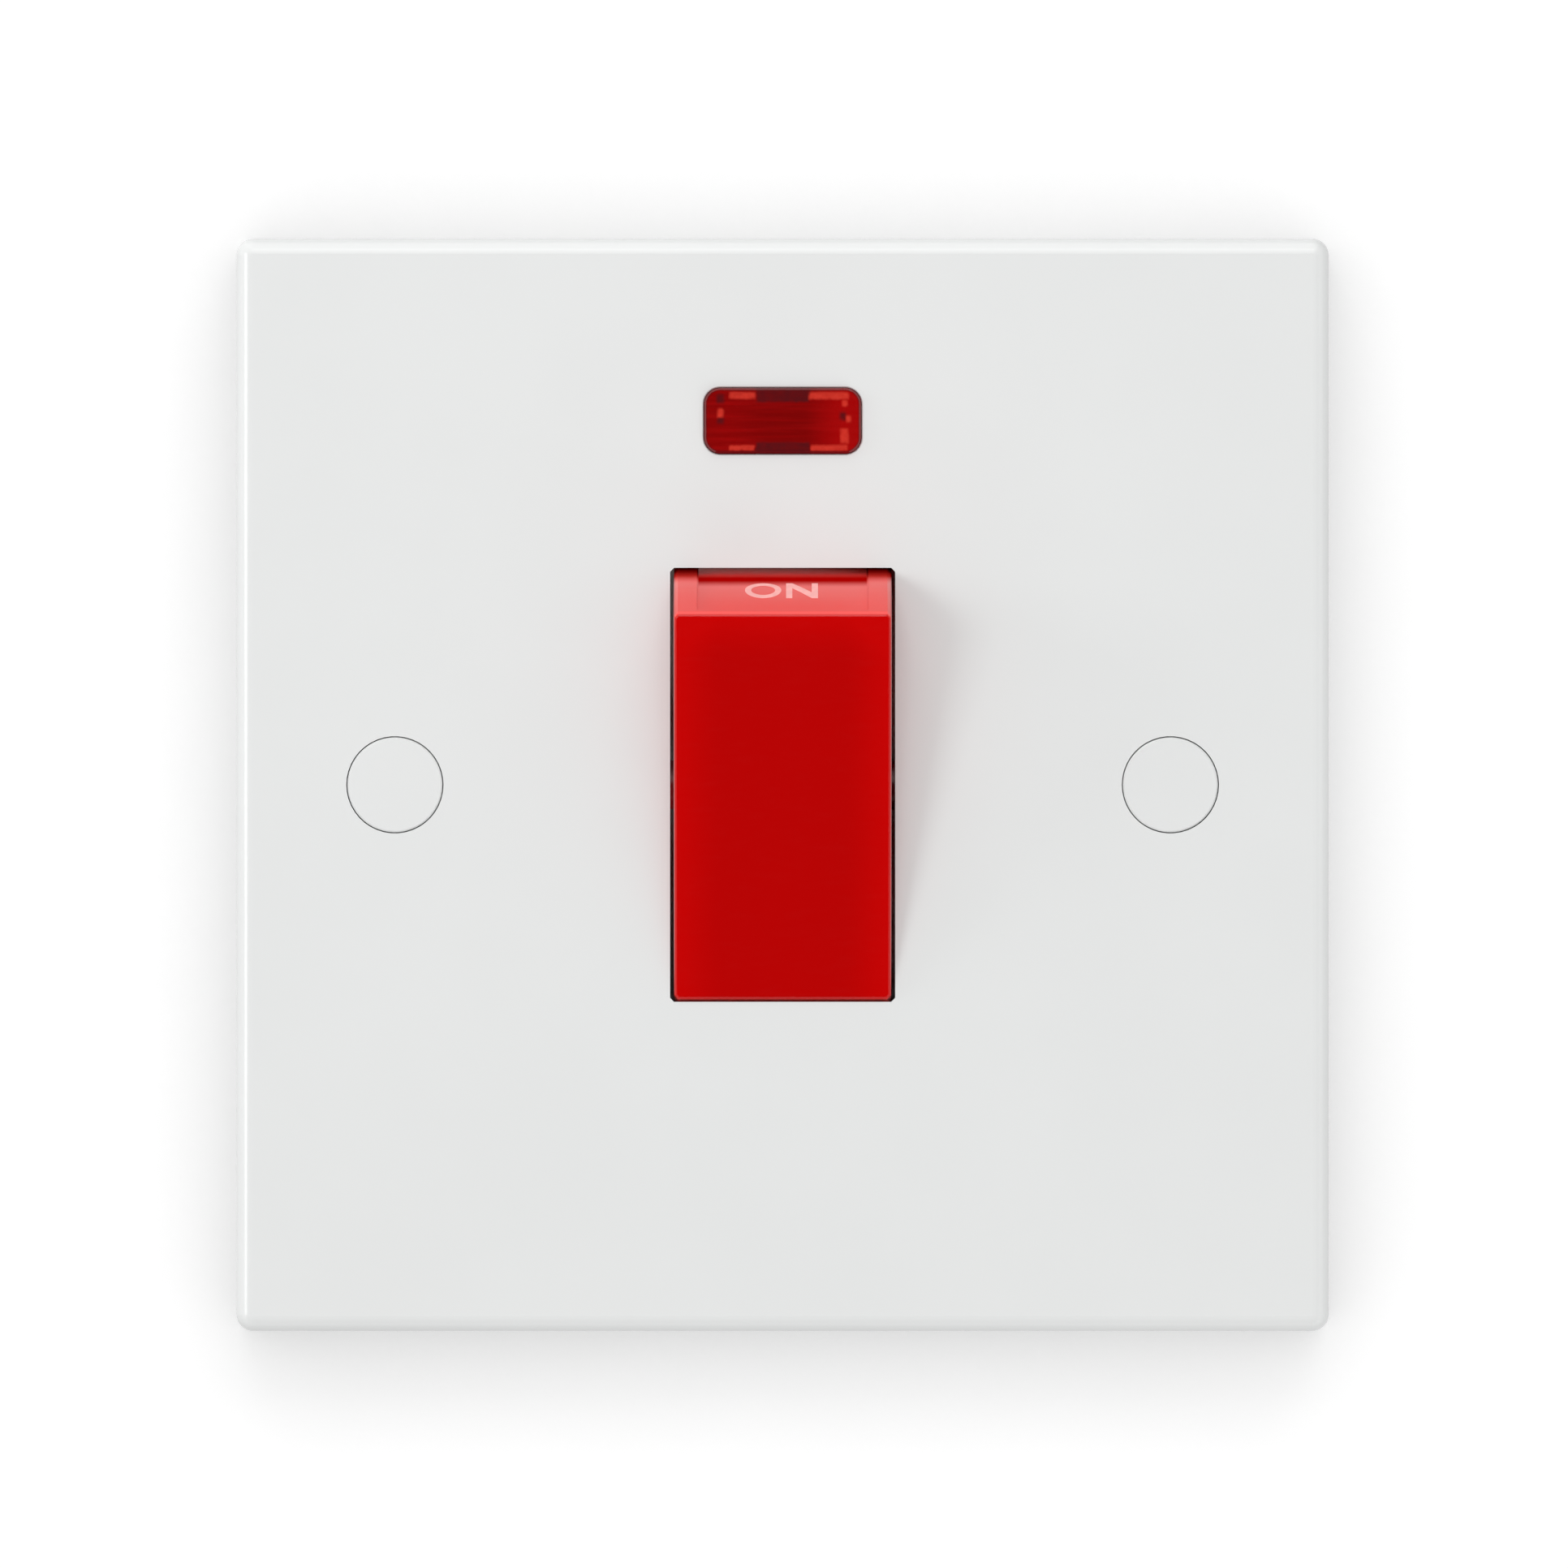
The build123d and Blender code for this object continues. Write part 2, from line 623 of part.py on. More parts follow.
# Neon lens, with fine ribs on the inside of its front
lens_cavity_front = lens_front + lens_front_wall
lens_flange_width = lens_width + 2 * lens_flange
lens_flange_height = lens_height + 2 * lens_flange
with BuildPart() as neon_lens:
    with BuildSketch(wall_plane(plate_inside)):
        with Locations((0, neon_height)):
            RectangleRounded(lens_width, lens_height, lens_corner_radius)
    extrude(amount=plate_inside - lens_front)
    chamfer(neon_lens.faces().sort_by(Axis.Y)[0].edges(), lens_edge)
    with BuildSketch(wall_plane(lens_flange_back)):
        with Locations((0, neon_height)):
            RectangleRounded(lens_flange_width, lens_flange_height, lens_corner_radius)
    extrude(amount=lens_flange_thickness)
    with BuildSketch(wall_plane(lens_flange_back)):
        with Locations((0, neon_height)):
            Rectangle(lens_width - 2 * lens_side_wall, lens_height - 2 * lens_side_wall)
    extrude(amount=lens_flange_back - lens_cavity_front, mode=Mode.SUBTRACT)
    # Slots through the upper and the lower wall
    with BuildSketch(wall_plane(lens_flange_back)):
        with Locations((0, neon_height)):
            Rectangle(lens_slot_width, lens_flange_height)
    extrude(amount=lens_flange_back - lens_cavity_front, mode=Mode.SUBTRACT)
    with BuildSketch(wall_plane(lens_cavity_front + lens_rib_depth)):
        with Locations((0, neon_height)):
            with GridLocations(0, lens_rib_pitch, 1, lens_rib_count):
                Rectangle(lens_width - 2 * lens_side_wall, lens_rib_width)
    extrude(amount=lens_rib_depth)
neon_lens.part.label = "neon_lens"
export_step(neon_lens.part, "parts/neon_lens.step")


# Neon tube: thin glass with a pinch at the left end
bulb_axis = Axis((0, bulb_y, neon_height), (1, 0, 0))
bulb_half = bulb_length / 2
bulb_inner = bulb_radius - bulb_wall
with BuildPart() as neon_bulb:
    with BuildSketch(wall_plane(bulb_y)):
        with Locations((0, neon_height)):
            Polygon(
                (-bulb_half, 0),
                (-bulb_half, bulb_radius),
                (bulb_half, bulb_radius),
                (bulb_half, 0),
                align=None,
            )
            Polygon(
                (-bulb_half + bulb_pinch, 0),
                (-bulb_half + bulb_pinch, bulb_inner),
                (bulb_half - bulb_pinch, bulb_inner),
                (bulb_half - bulb_pinch, 0),
                align=None,
                mode=Mode.SUBTRACT,
            )
    revolve(axis=bulb_axis)
    with BuildSketch(Plane.YZ.offset(-bulb_half)):
        with Locations((bulb_y, neon_height)):
            with GridLocations(0, wire_spacing, 1, 2):
                RegularPolygon(wire_radius + wire_gap, wire_side_count, major_radius=False)
    extrude(amount=bulb_pinch, mode=Mode.SUBTRACT)
neon_bulb.part.label = "neon_bulb"
export_step(neon_bulb.part, "parts/neon_bulb.step")


# Electrode wires, out of the pinch and back through the holder
with BuildPart() as neon_electrodes:
    for row in (1, -1):
        wire_z = neon_height + row * wire_spacing / 2
        with BuildLine() as wire_path:
            Polyline(
                (-bulb_half + bulb_pinch + wire_inside, bulb_y, wire_z),
                (-wire_bend_x + wire_bend_setback, bulb_y, wire_z),
                (-wire_bend_x, bulb_y + wire_bend_setback, wire_z),
                (-wire_bend_x, wire_end_y, wire_z),
            )
        with BuildSketch(Plane(origin=wire_path.line @ 0, z_dir=wire_path.line % 0)):
            RegularPolygon(wire_radius, wire_side_count)
        sweep(transition=Transition.RIGHT)
neon_electrodes.part.label = "neon_electrodes"
export_step(neon_electrodes.part, "parts/neon_electrodes.step")


# Holder: a tray behind the lens with cradles for the tube
holder_floor = holder_back - holder_wall
with BuildPart() as neon_holder:
    with BuildSketch(wall_plane(holder_back)):
        with Locations((0, neon_height)):
            RectangleRounded(holder_width, holder_height, holder_corner_radius)
    extrude(amount=holder_back - lens_flange_back)
    with BuildSketch(wall_plane(holder_floor)):
        with Locations((0, neon_height)):
            Rectangle(holder_width - 2 * holder_wall, holder_height - 2 * holder_wall)
    extrude(amount=holder_floor - lens_flange_back, mode=Mode.SUBTRACT)
    with BuildSketch(wall_plane(holder_floor)):
        with Locations((0, neon_height)):
            with GridLocations(2 * cradle_x, 0, 2, 1):
                Rectangle(cradle_width, holder_height - 2 * holder_wall)
    extrude(amount=holder_floor - bulb_y)
    with BuildSketch(wall_plane(bulb_y + bulb_radius + cradle_gap)):
        with Locations((0, neon_height)):
            Rectangle(2 * cradle_x + cradle_width, 2 * (bulb_radius + cradle_gap))
    extrude(amount=bulb_radius + 2 * cradle_gap, mode=Mode.SUBTRACT)
    with BuildSketch(wall_plane(holder_back)):
        with Locations((-wire_bend_x, neon_height)):
            with GridLocations(0, wire_spacing, 1, 2):
                RegularPolygon(wire_radius + wire_gap, wire_side_count, major_radius=False)
    extrude(amount=holder_wall, mode=Mode.SUBTRACT)
neon_holder.part.label = "neon_holder"
export_step(neon_holder.part, "parts/neon_holder.step")


# Series resistor across the back of the holder
resistor_z = neon_height + wire_spacing / 2
resistor_end = resistor_length / 2
with BuildPart() as neon_resistor:
    with BuildSketch(Plane.YZ):
        with Locations((resistor_y, resistor_z)):
            Circle(resistor_radius)
    extrude(amount=resistor_end, both=True)
neon_resistor.part.label = "neon_resistor"
export_step(neon_resistor.part, "parts/neon_resistor.step")


# Sleeved joint from the upper electrode to the resistor
with BuildPart() as neon_resistor_lead:
    with BuildSketch(Plane.YZ.offset(-resistor_end)):
        with Locations((resistor_y, resistor_z)):
            RegularPolygon(lead_radius, wire_side_count)
    extrude(amount=-(wire_bend_x + lead_overlap - resistor_end))
neon_resistor_lead.part.label = "neon_resistor_lead"
export_step(neon_resistor_lead.part, "parts/neon_resistor_lead.step")


# Insulated leads to the load terminals, past the end of the housing
lead_x = terminal_x + terminal_width / 2 - lead_inset
lead_cross_z = housing_height / 2 + lead_radius + lead_clearance
lead_bend_radius = lead_bend_share * (lead_cross_z - terminal_end)
lead_starts = {
    "line": (resistor_end + lead_end_gap, resistor_y, resistor_z),
    "neutral": (-wire_bend_x + lead_overlap, resistor_y, neon_height - wire_spacing / 2),
}
for pole, side in poles:
    with BuildPart() as lead:
        with BuildLine() as lead_path:
            FilletPolyline(
                lead_starts[pole],
                (side * lead_x, resistor_y, lead_cross_z),
                (side * lead_x, lead_depth, lead_cross_z),
                (side * lead_x, lead_depth, terminal_end),
                radius=lead_bend_radius,
            )
        with BuildSketch(Plane(origin=lead_path.line @ 0, z_dir=lead_path.line % 0)):
            RegularPolygon(lead_radius, wire_side_count)
        sweep()
    lead.part.label = f"{pole}_neon_lead"
    export_step(lead.part, f"parts/{pole}_neon_lead.step")
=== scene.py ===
"""Double pole switch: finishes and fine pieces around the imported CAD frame.

Laid out as a Blender add-on and run as a script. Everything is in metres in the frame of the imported
model: X to the right, Y into the wall, Z up, with the face of the wall at Y = 0.
"""

import json
import math

import bmesh
import bpy
import numpy as np
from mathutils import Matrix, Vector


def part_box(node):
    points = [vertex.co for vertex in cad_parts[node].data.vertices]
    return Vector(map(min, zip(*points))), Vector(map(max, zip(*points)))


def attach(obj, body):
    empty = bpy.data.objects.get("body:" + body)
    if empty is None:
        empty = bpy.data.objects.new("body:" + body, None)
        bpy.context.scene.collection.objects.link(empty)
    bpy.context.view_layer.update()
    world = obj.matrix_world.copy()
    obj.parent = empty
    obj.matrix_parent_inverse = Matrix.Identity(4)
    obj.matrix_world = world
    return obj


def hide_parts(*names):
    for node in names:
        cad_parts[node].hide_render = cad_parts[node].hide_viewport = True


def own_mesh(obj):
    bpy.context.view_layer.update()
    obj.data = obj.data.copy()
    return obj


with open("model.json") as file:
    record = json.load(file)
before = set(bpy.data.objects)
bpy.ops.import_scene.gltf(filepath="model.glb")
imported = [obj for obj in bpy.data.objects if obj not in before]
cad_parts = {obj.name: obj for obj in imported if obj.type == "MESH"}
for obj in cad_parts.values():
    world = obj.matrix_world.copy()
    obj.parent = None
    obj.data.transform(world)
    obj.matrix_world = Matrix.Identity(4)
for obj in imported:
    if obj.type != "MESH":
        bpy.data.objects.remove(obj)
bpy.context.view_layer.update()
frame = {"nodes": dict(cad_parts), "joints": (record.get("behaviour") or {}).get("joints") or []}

bl_info = {
    "name": "Double pole switch",
    "version": (1, 0, 0),
    "blender": (4, 5, 0),
    "location": "View3D > Sidebar > Switch",
    "description": "Finishes and fine pieces of a one-gang double pole switch with a neon",
    "category": "Object",
}

MM = 0.001
FULL_TURN = 2 * math.pi
WELD = 2e-7
POLES = {"line": 1, "neutral": -1}


# Light and colour ---------------------------------------------------------------------------------


def paint(red, green, blue):
    """A screen colour of 0 to 255 as linear light, by the sRGB curve."""
    shares = np.array((red, green, blue)) / 255
    straight = shares / 12.92
    curved = ((shares + 0.055) / 1.055) ** 2.4
    return tuple(float(x) for x in np.where(shares <= 0.04045, straight, curved))


def opaque(colour, share=1.0):
    """A colour of three numbers, made lighter or darker by a share, with alpha 1."""
    return tuple(share * x for x in colour[:3]) + (1.0,)


class Field:
    """A value over a surface: one socket that takes part in sums as a number does."""

    def __init__(self, finish, socket):
        self.finish = finish
        self.socket = socket

    def maths(self, operation, *values):
        return self.finish.node("ShaderNodeMath", {"operation": operation}, dict(enumerate(values)))

    def __add__(self, other):
        return self.maths("ADD", self, other)

    def __radd__(self, other):
        return self.maths("ADD", other, self)

    def __sub__(self, other):
        return self.maths("SUBTRACT", self, other)

    def __rsub__(self, other):
        return self.maths("SUBTRACT", other, self)

    def __mul__(self, other):
        return self.maths("MULTIPLY", self, other)

    def __rmul__(self, other):
        return self.maths("MULTIPLY", other, self)

    def __abs__(self):
        return self.maths("ABSOLUTE", self)

    def rise(self, low, high):
        """0 below low and 1 above high, with a smooth step between."""
        settings = {"interpolation_type": "SMOOTHSTEP"}
        sockets = {"Value": self, "From Min": low, "From Max": high}
        return self.finish.node("ShaderNodeMapRange", settings, sockets)

    def root(self):
        return self.maths("SQRT", self)

    def over(self, limit):
        """How far it is over a limit, or 0 below it."""
        return self.maths("MAXIMUM", self - limit, 0.0)

    def near(self, middle, half, soft):
        """1 within half of the middle, falling to 0 over the soft width outside it."""
        return 1 - abs(self - middle).rise(half, half + soft)


class Finish:
    """A node tree for one surface, lamp or backdrop."""

    def __init__(self, tree):
        self.tree = tree
        tree.nodes.clear()

    def node(self, kind, settings=None, sockets=None, output=0):
        """Adds a node, sets its settings, then gives its sockets values or links."""
        made = self.tree.nodes.new(kind)
        for name, value in (settings or {}).items():
            setattr(made, name, value)
        for key, value in (sockets or {}).items():
            if isinstance(value, Field):
                self.tree.links.new(value.socket, made.inputs[key])
            else:
                made.inputs[key].default_value = value
        return Field(self, made.outputs[output]) if made.outputs else None

    def place(self):
        """Where the surface is, in metres in the frame of the model."""
        return self.node("ShaderNodeTexCoord", output="Object")

    def along(self, letter):
        return self.node("ShaderNodeSeparateXYZ", None, {0: self.place()}, letter)

    def measure(self, operation, vector):
        """One number from place and a vector, such as how far the surface lies along it."""
        sockets = {0: self.place(), 1: vector}
        return self.node("ShaderNodeVectorMath", {"operation": operation}, sockets, "Value")

    def stretched(self, scale):
        """Place times a scale for each axis, so that a pattern is drawn out along one of them."""
        return self.node("ShaderNodeVectorMath", {"operation": "MULTIPLY"}, {0: self.place(), 1: scale})

    def noise(self, size, detail=2.0, where=None):
        """Cloudy noise from 0 to 1 whose clouds are about as wide as size."""
        sockets = {"Vector": where or self.place(), "Scale": 1 / size, "Detail": detail}
        return self.node("ShaderNodeTexNoise", None, sockets)

    def blend(self, mask, under, over):
        """The under colour where the mask is 0 and the over colour where it is 1."""
        settings = {"data_type": "RGBA", "clamp_factor": True}
        return self.node("ShaderNodeMix", settings, {0: mask, 6: under, 7: over}, 2)

    def relief(self, height, depth):
        """A bumped normal from a height of 0 to 1 over a depth in metres."""
        return self.node("ShaderNodeBump", None, {"Height": height, "Distance": depth, "Strength": 1.0})

    def path(self, kind):
        return self.node("ShaderNodeLightPath", output=kind)

    def seen(self):
        """1 for the rays that show a backdrop: to the camera, in gloss and through glass."""
        rays = self.path("Is Camera Ray") + self.path("Is Glossy Ray") + self.path("Is Transmission Ray")
        return rays.rise(0.0, 1.0)

    def skin(self, **sockets):
        """The main shader, with its sockets named by words joined with an underscore."""
        named = {key.replace("_", " "): value for key, value in sockets.items()}
        return self.node("ShaderNodeBsdfPrincipled", None, named)

    def close(self, shader):
        self.node("ShaderNodeOutputMaterial", None, {"Surface": shader})

    def let_lamps_through(self, shader, tint):
        """Clear pieces let the light of the lamps through in a tint, in place of a black shadow."""
        clear = self.node("ShaderNodeBsdfTransparent", None, {"Color": tint})
        return self.node("ShaderNodeMixShader", None, {0: self.path("Is Shadow Ray"), 1: shader, 2: clear})


def new_finish(name):
    material = bpy.data.materials.new(name)
    material.use_nodes = True
    return material, Finish(material.node_tree)


# Finishes -----------------------------------------------------------------------------------------


def moulded_finish(name, colour, rough, flow=0.03, grain=0.004 * MM):
    """Moulded plastic: faint flow clouds in the colour, uneven gloss and a fine grain."""
    material, look = new_finish(name)
    clouds = look.noise(14 * MM, 3.0)
    specks = look.noise(0.35 * MM, 1.0)
    tint = look.blend(clouds.rise(0.3, 0.7), opaque(colour, 1 - flow), opaque(colour, 1 + flow))
    gloss = rough * (0.8 + 0.25 * look.noise(5 * MM) + 0.15 * specks)
    look.close(look.skin(Base_Color=tint, Roughness=gloss, Normal=look.relief(specks, grain)))
    return material


def rocker_finish(name, colour, end_colour, outward):
    """Gloss red plastic with fine rubbing marks, where painted light makes the face paler towards its long
    sides and top.

    The face is where place along the outward direction is furthest, and all but the face is duller. Painted
    light makes the end a paler red and lays a painted highlight along its ridge, and painted shade makes
    the side walls a darker red. The label's lip and the tops of the rails beside it, which lie in the
    plate's window, are darker and matt: a painted shadow with its reflection taken out.
    """
    half_width, label_half_width, lip_height = 8.42 * MM, 6.6 * MM, 15.95 * MM
    face_depth, ridge_depth = 11.4 * MM, 11.22 * MM
    material, look = new_finish(name)
    clouds = look.noise(9 * MM, 3.0)
    rub = look.noise(0.5 * MM, 3.0, look.stretched((0.25, 1.0, 2.0)))
    across, up = abs(look.along("X")), look.along("Z")
    depth = look.measure("DOT_PRODUCT", outward)
    # Painted light: the face grows paler towards its long sides and its top.
    sides = across.rise(4.5 * MM, 8.6 * MM) + up.rise(9.5 * MM, 13.5 * MM)
    end = 1 - depth.rise(face_depth - 0.1 * MM, face_depth)
    # Painted highlight along the ridge.
    ridge = depth.near(ridge_depth, 0.08 * MM, 0.15 * MM) * up.rise(12.0 * MM, 12.5 * MM)
    # Painted shade: the side walls take a darker copy of the red.
    walls = end * across.rise(half_width - 0.12 * MM, half_width)
    label = 1 - across.rise(label_half_width - 0.1 * MM, label_half_width)
    # Painted shadow: the label's lip and the tops of the rails, where they go into the plate's window, are
    # darkened, and the zone they make gets the matt shader below.
    lip = end * label * up.near(lip_height, 0.05 * MM, 0.62 * MM)
    rails = end * (1 - label)
    tops = rails * up.rise(15.7 * MM, 16.7 * MM)
    painted_shadow_zone = lip + rails * up.rise(15.55 * MM, 16.3 * MM)
    # Painted light from the face's sides and top, mixed with the plastic's own cloudy tone.
    tint = look.blend(0.85 * sides + 0.15 * clouds, opaque(colour, 0.93), opaque(colour, 1.12))
    # Painted light: the end is a paler red, standing in for light from above and its sheen.
    tint = look.blend(end, tint, opaque(end_colour))
    # Painted highlight on the ridge.
    tint = look.blend(ridge, tint, opaque(end_colour, 1.17))
    # Painted shade on the side walls.
    tint = look.blend(walls, tint, opaque(colour, 0.75))
    # Painted shadow on the lip and the rail tops.
    tint = look.blend(lip, tint, opaque(colour, 0.75))
    tint = look.blend(tops, tint, opaque(colour, 0.2))
    gloss = 0.11 + 0.26 * end + 0.05 * rub.rise(0.45, 0.8)
    normal = look.relief(rub, 0.0006 * MM)
    varied = {"Base_Color": tint, "Roughness": gloss, "Normal": normal, "Coat_Weight": end}
    shiny = look.skin(**varied, Coat_Roughness=0.3, Specular_IOR_Level=0.3)
    matt = look.skin(Base_Color=tint, Roughness=1.0, Specular_IOR_Level=0.0)
    # Painted shadow: the matt shader takes the reflection out of the shadowed zone.
    look.close(look.node("ShaderNodeMixShader", None, {0: painted_shadow_zone, 1: shiny, 2: matt}))
    return material


def lens_finish(name, colour, rim_colour, corners, patches):
    """Clear red plastic with fine ribs, paler towards the right, and a darker rim.

    Patches are (x, z, half width, half height, soft, colour), placed from the lens's middle: painted light
    on the walls that guide light, painted shade in the slots between them, and painted light and shade for
    the pips at both ends.
    The rim is where the distance outside the corners' inner rectangle nears their radius.
    """
    material, look = new_finish(name)
    middle, half_width, half_height, radius = corners
    across = look.along("X") - middle.x
    up = look.along("Z") - middle.z
    lines = look.noise(0.5 * MM, 2.0, look.stretched((0.08, 1.0, 1.6)))
    mottle = look.noise(0.5 * MM, 2.0)
    blurred = across + 0.4 * MM * (look.noise(1.2 * MM) - 0.5), up + 0.2 * MM * (mottle - 0.5)
    # Painted light: paler towards both ends and, in the second blend, towards the right.
    ends = abs(across).rise(1.0 * MM, 4.5 * MM)
    tint = look.blend(0.6 * lines.rise(0.35, 0.7) + 0.4 * ends, opaque(colour, 0.85), opaque(colour, 1.3))
    tint = look.blend(0.8 * across.rise(1.5 * MM, 5.2 * MM), tint, opaque(colour, 1.7))
    # Painted light on the lens's walls, painted shade in its slots, and both at its pips.
    for x, z, wide, high, soft, shade in patches:
        mask = blurred[0].near(x, wide, soft) * blurred[1].near(z, high, soft)
        tint = look.blend(mask * (0.55 + 0.7 * mottle), tint, opaque(shade))
    # Painted shade: the rim is darkened.
    beyond = abs(across).over(half_width - radius), abs(up).over(half_height - radius)
    outside = (beyond[0] * beyond[0] + beyond[1] * beyond[1]).root()
    rim = outside.rise(radius - 0.30 * MM, radius - 0.12 * MM)
    tint = look.blend(0.7 * rim, tint, opaque(rim_colour))
    gloss = 0.08 + 0.08 * lines
    shader = look.skin(Base_Color=tint, Roughness=gloss, IOR=1.49, Transmission_Weight=0.3)
    look.close(look.let_lamps_through(shader, opaque(colour)))
    return material


def glass_finish(name, colour):
    """Thin clear glass, a little hazy near the pinch where the flame worked it."""
    material, look = new_finish(name)
    pinch_x, clear_x = -5.2 * MM, -2.6 * MM
    haze = 1 - look.along("X").rise(pinch_x, clear_x)
    streaks = look.noise(0.8 * MM, 2.0, look.stretched((0.3, 1.0, 1.0)))
    tint = look.blend(haze * 0.4, opaque(colour), opaque(colour, 0.8))
    gloss = 0.03 + 0.25 * haze * streaks
    shader = look.skin(Base_Color=tint, Roughness=gloss, IOR=1.48, Transmission_Weight=1.0)
    look.close(look.let_lamps_through(shader, opaque(colour)))
    return material


def metal_finish(name, colour, rough, drawn, tarnish=0.25, depth=0.006 * MM):
    """Metal with drawn or rolled lines along one axis and cloudy tarnish."""
    material, look = new_finish(name)
    lines = look.noise(0.18 * MM, 2.0, look.stretched(drawn))
    clouds = look.noise(2.5 * MM, 3.0)
    dull = clouds.rise(0.45, 0.75) * tarnish
    tint = look.blend(dull, opaque(colour), opaque(colour, 0.62))
    gloss = rough + 0.16 * (lines - 0.5) + 0.5 * dull
    normal = look.relief(lines, depth)
    look.close(look.skin(Base_Color=tint, Roughness=gloss, Metallic=1.0, Normal=normal))
    return material


def resistor_finish(name, colour, bands):
    """Lacquered body with rings of colour at (place along X, colour)."""
    material, look = new_finish(name)
    half_ring = 0.26 * MM
    across = look.along("X")
    tint = look.blend(look.noise(0.8 * MM).rise(0.3, 0.7), opaque(colour, 0.92), opaque(colour, 1.06))
    for middle, ring in bands:
        tint = look.blend(across.near(middle, half_ring, 0.04 * MM), tint, opaque(ring))
    gloss = 0.3 + 0.15 * look.noise(0.6 * MM)
    look.close(look.skin(Base_Color=tint, Roughness=gloss))
    return material


def sleeve_finish(name, colour):
    """Soft sleeving with a faint weave along and across."""
    material, look = new_finish(name)
    weave = look.noise(0.16 * MM, 1.0)
    tint = look.blend(weave.rise(0.35, 0.65), opaque(colour, 0.9), opaque(colour, 1.04))
    gloss = 0.5 + 0.12 * weave
    look.close(look.skin(Base_Color=tint, Roughness=gloss, Normal=look.relief(weave, 0.012 * MM)))
    return material


def paint_finish(name, colour):
    """Printed letters: thin paint, uneven where the pad lifted off."""
    material, look = new_finish(name)
    patch = look.noise(0.5 * MM, 2.0)
    tint = look.blend(patch.rise(0.35, 0.7), opaque(colour, 0.93), opaque(colour, 1.02))
    gloss = 0.42 + 0.15 * patch
    look.close(look.skin(Base_Color=tint, Roughness=gloss))
    return material


# Sizes and colours that can be changed ------------------------------------------------------------


def length(name, description, default):
    return bpy.props.FloatProperty(
        name=name, description=description, default=default, precision=5, subtype="DISTANCE", unit="LENGTH"
    )


def count(name, description, default):
    return bpy.props.IntProperty(name=name, description=description, default=default, min=1)


def level(name, description, default):
    return bpy.props.FloatProperty(name=name, description=description, default=default, min=0.0)


def colour(name, description, default):
    return bpy.props.FloatVectorProperty(
        name=name, description=description, default=default, size=3, min=0.0, max=1.0, subtype="COLOR"
    )


class SwitchSizes(bpy.types.PropertyGroup):
    """Sizes of the fine pieces"""

    letter_height: length("Letter height", "Height of ON round the label panel", 2.55 * MM)
    letter_stroke: length("Letter stroke", "Width of the letters' strokes", 0.48 * MM)
    o_width: length("O width", "Width of the letter O", 2.82 * MM)
    n_width: length("N width", "Width of the letter N", 2.47 * MM)
    letter_gap: length("Letter gap", "Space between the two letters", 0.37 * MM)
    letter_lift: length("Letter lift", "How far the paint stands on the panel", 0.02 * MM)
    spring_turns: level("Spring turns", "Turns of each plunger spring", 6.5)
    spring_wire: length("Spring wire", "Radius of the spring wire", 0.25 * MM)
    spring_radius: length("Spring radius", "Radius of the coil at the middle of the wire", 1.2 * MM)
    housing_pitch: length("Housing screw pitch", "Thread pitch of the housing screws", 1.25 * MM)
    clamp_pitch: length("Clamp screw pitch", "Thread pitch of the clamp screws", 0.7 * MM)
    slot_width: length("Slot width", "Width of the slot in the clamp screws", 0.8 * MM)
    sleeve_radius: length("Sleeve radius", "Radius of the neon's sleeved leads", 0.5 * MM)
    round_sides: count("Sides of a round", "Sides of a round wire or sleeve", 20)


class SwitchColours(bpy.types.PropertyGroup):
    """Colours of the finishes"""

    plate: colour("Plate", "White plate and screw caps", (0.80, 0.81, 0.805))
    rocker: colour("Rocker", "Red rocker", (0.525, 0.0003, 0.0003))
    # Painted light: the end's paler red stands in for light from above and its sheen.
    rocker_end: colour("Rocker end", "Paler end of the rocker", (0.77, 0.034, 0.025))
    # Painted light in the lens's walls; painted shade in its slots and on its rim.
    lens_wall: colour("Lens wall", "Walls of the lens that guide light", (0.85, 0.05, 0.03))
    lens_slot: colour("Lens slot", "Slots between the lens's walls", (0.14, 0.007, 0.010))
    lens: colour("Lens", "Clear red neon lens", (0.32, 0.0008, 0.001))
    letters: colour("Letters", "Printed letters", paint(250, 176, 172))
    frame: colour("Frame", "Moulded frame behind the plate", (0.62, 0.62, 0.60))
    base: colour("Base", "Moulded rear housing", (0.70, 0.70, 0.68))
    holder: colour("Holder", "Tray of the neon", (0.72, 0.72, 0.70))
    plunger: colour("Plunger", "Sprung plungers", (0.75, 0.74, 0.70))
    brass: colour("Brass", "Terminals", (0.66, 0.47, 0.18))
    copper: colour("Copper", "Contact arms", (0.72, 0.36, 0.22))
    silver: colour("Silver", "Contacts", (0.80, 0.80, 0.78))
    zinc: colour("Zinc", "Housing screws", (0.62, 0.62, 0.60))
    plated: colour("Plated", "Clamp screws", (0.62, 0.60, 0.52))
    spring: colour("Spring", "Spring wire", (0.50, 0.50, 0.50))
    nickel: colour("Nickel", "Electrode wires", (0.66, 0.64, 0.60))
    glass: colour("Glass", "Neon tube", (0.95, 0.85, 0.78))
    resistor: colour("Resistor", "Lacquer of the resistor", (0.62, 0.50, 0.34))
    sleeve: colour("Sleeve", "Sleeves of the leads", (0.75, 0.74, 0.70))


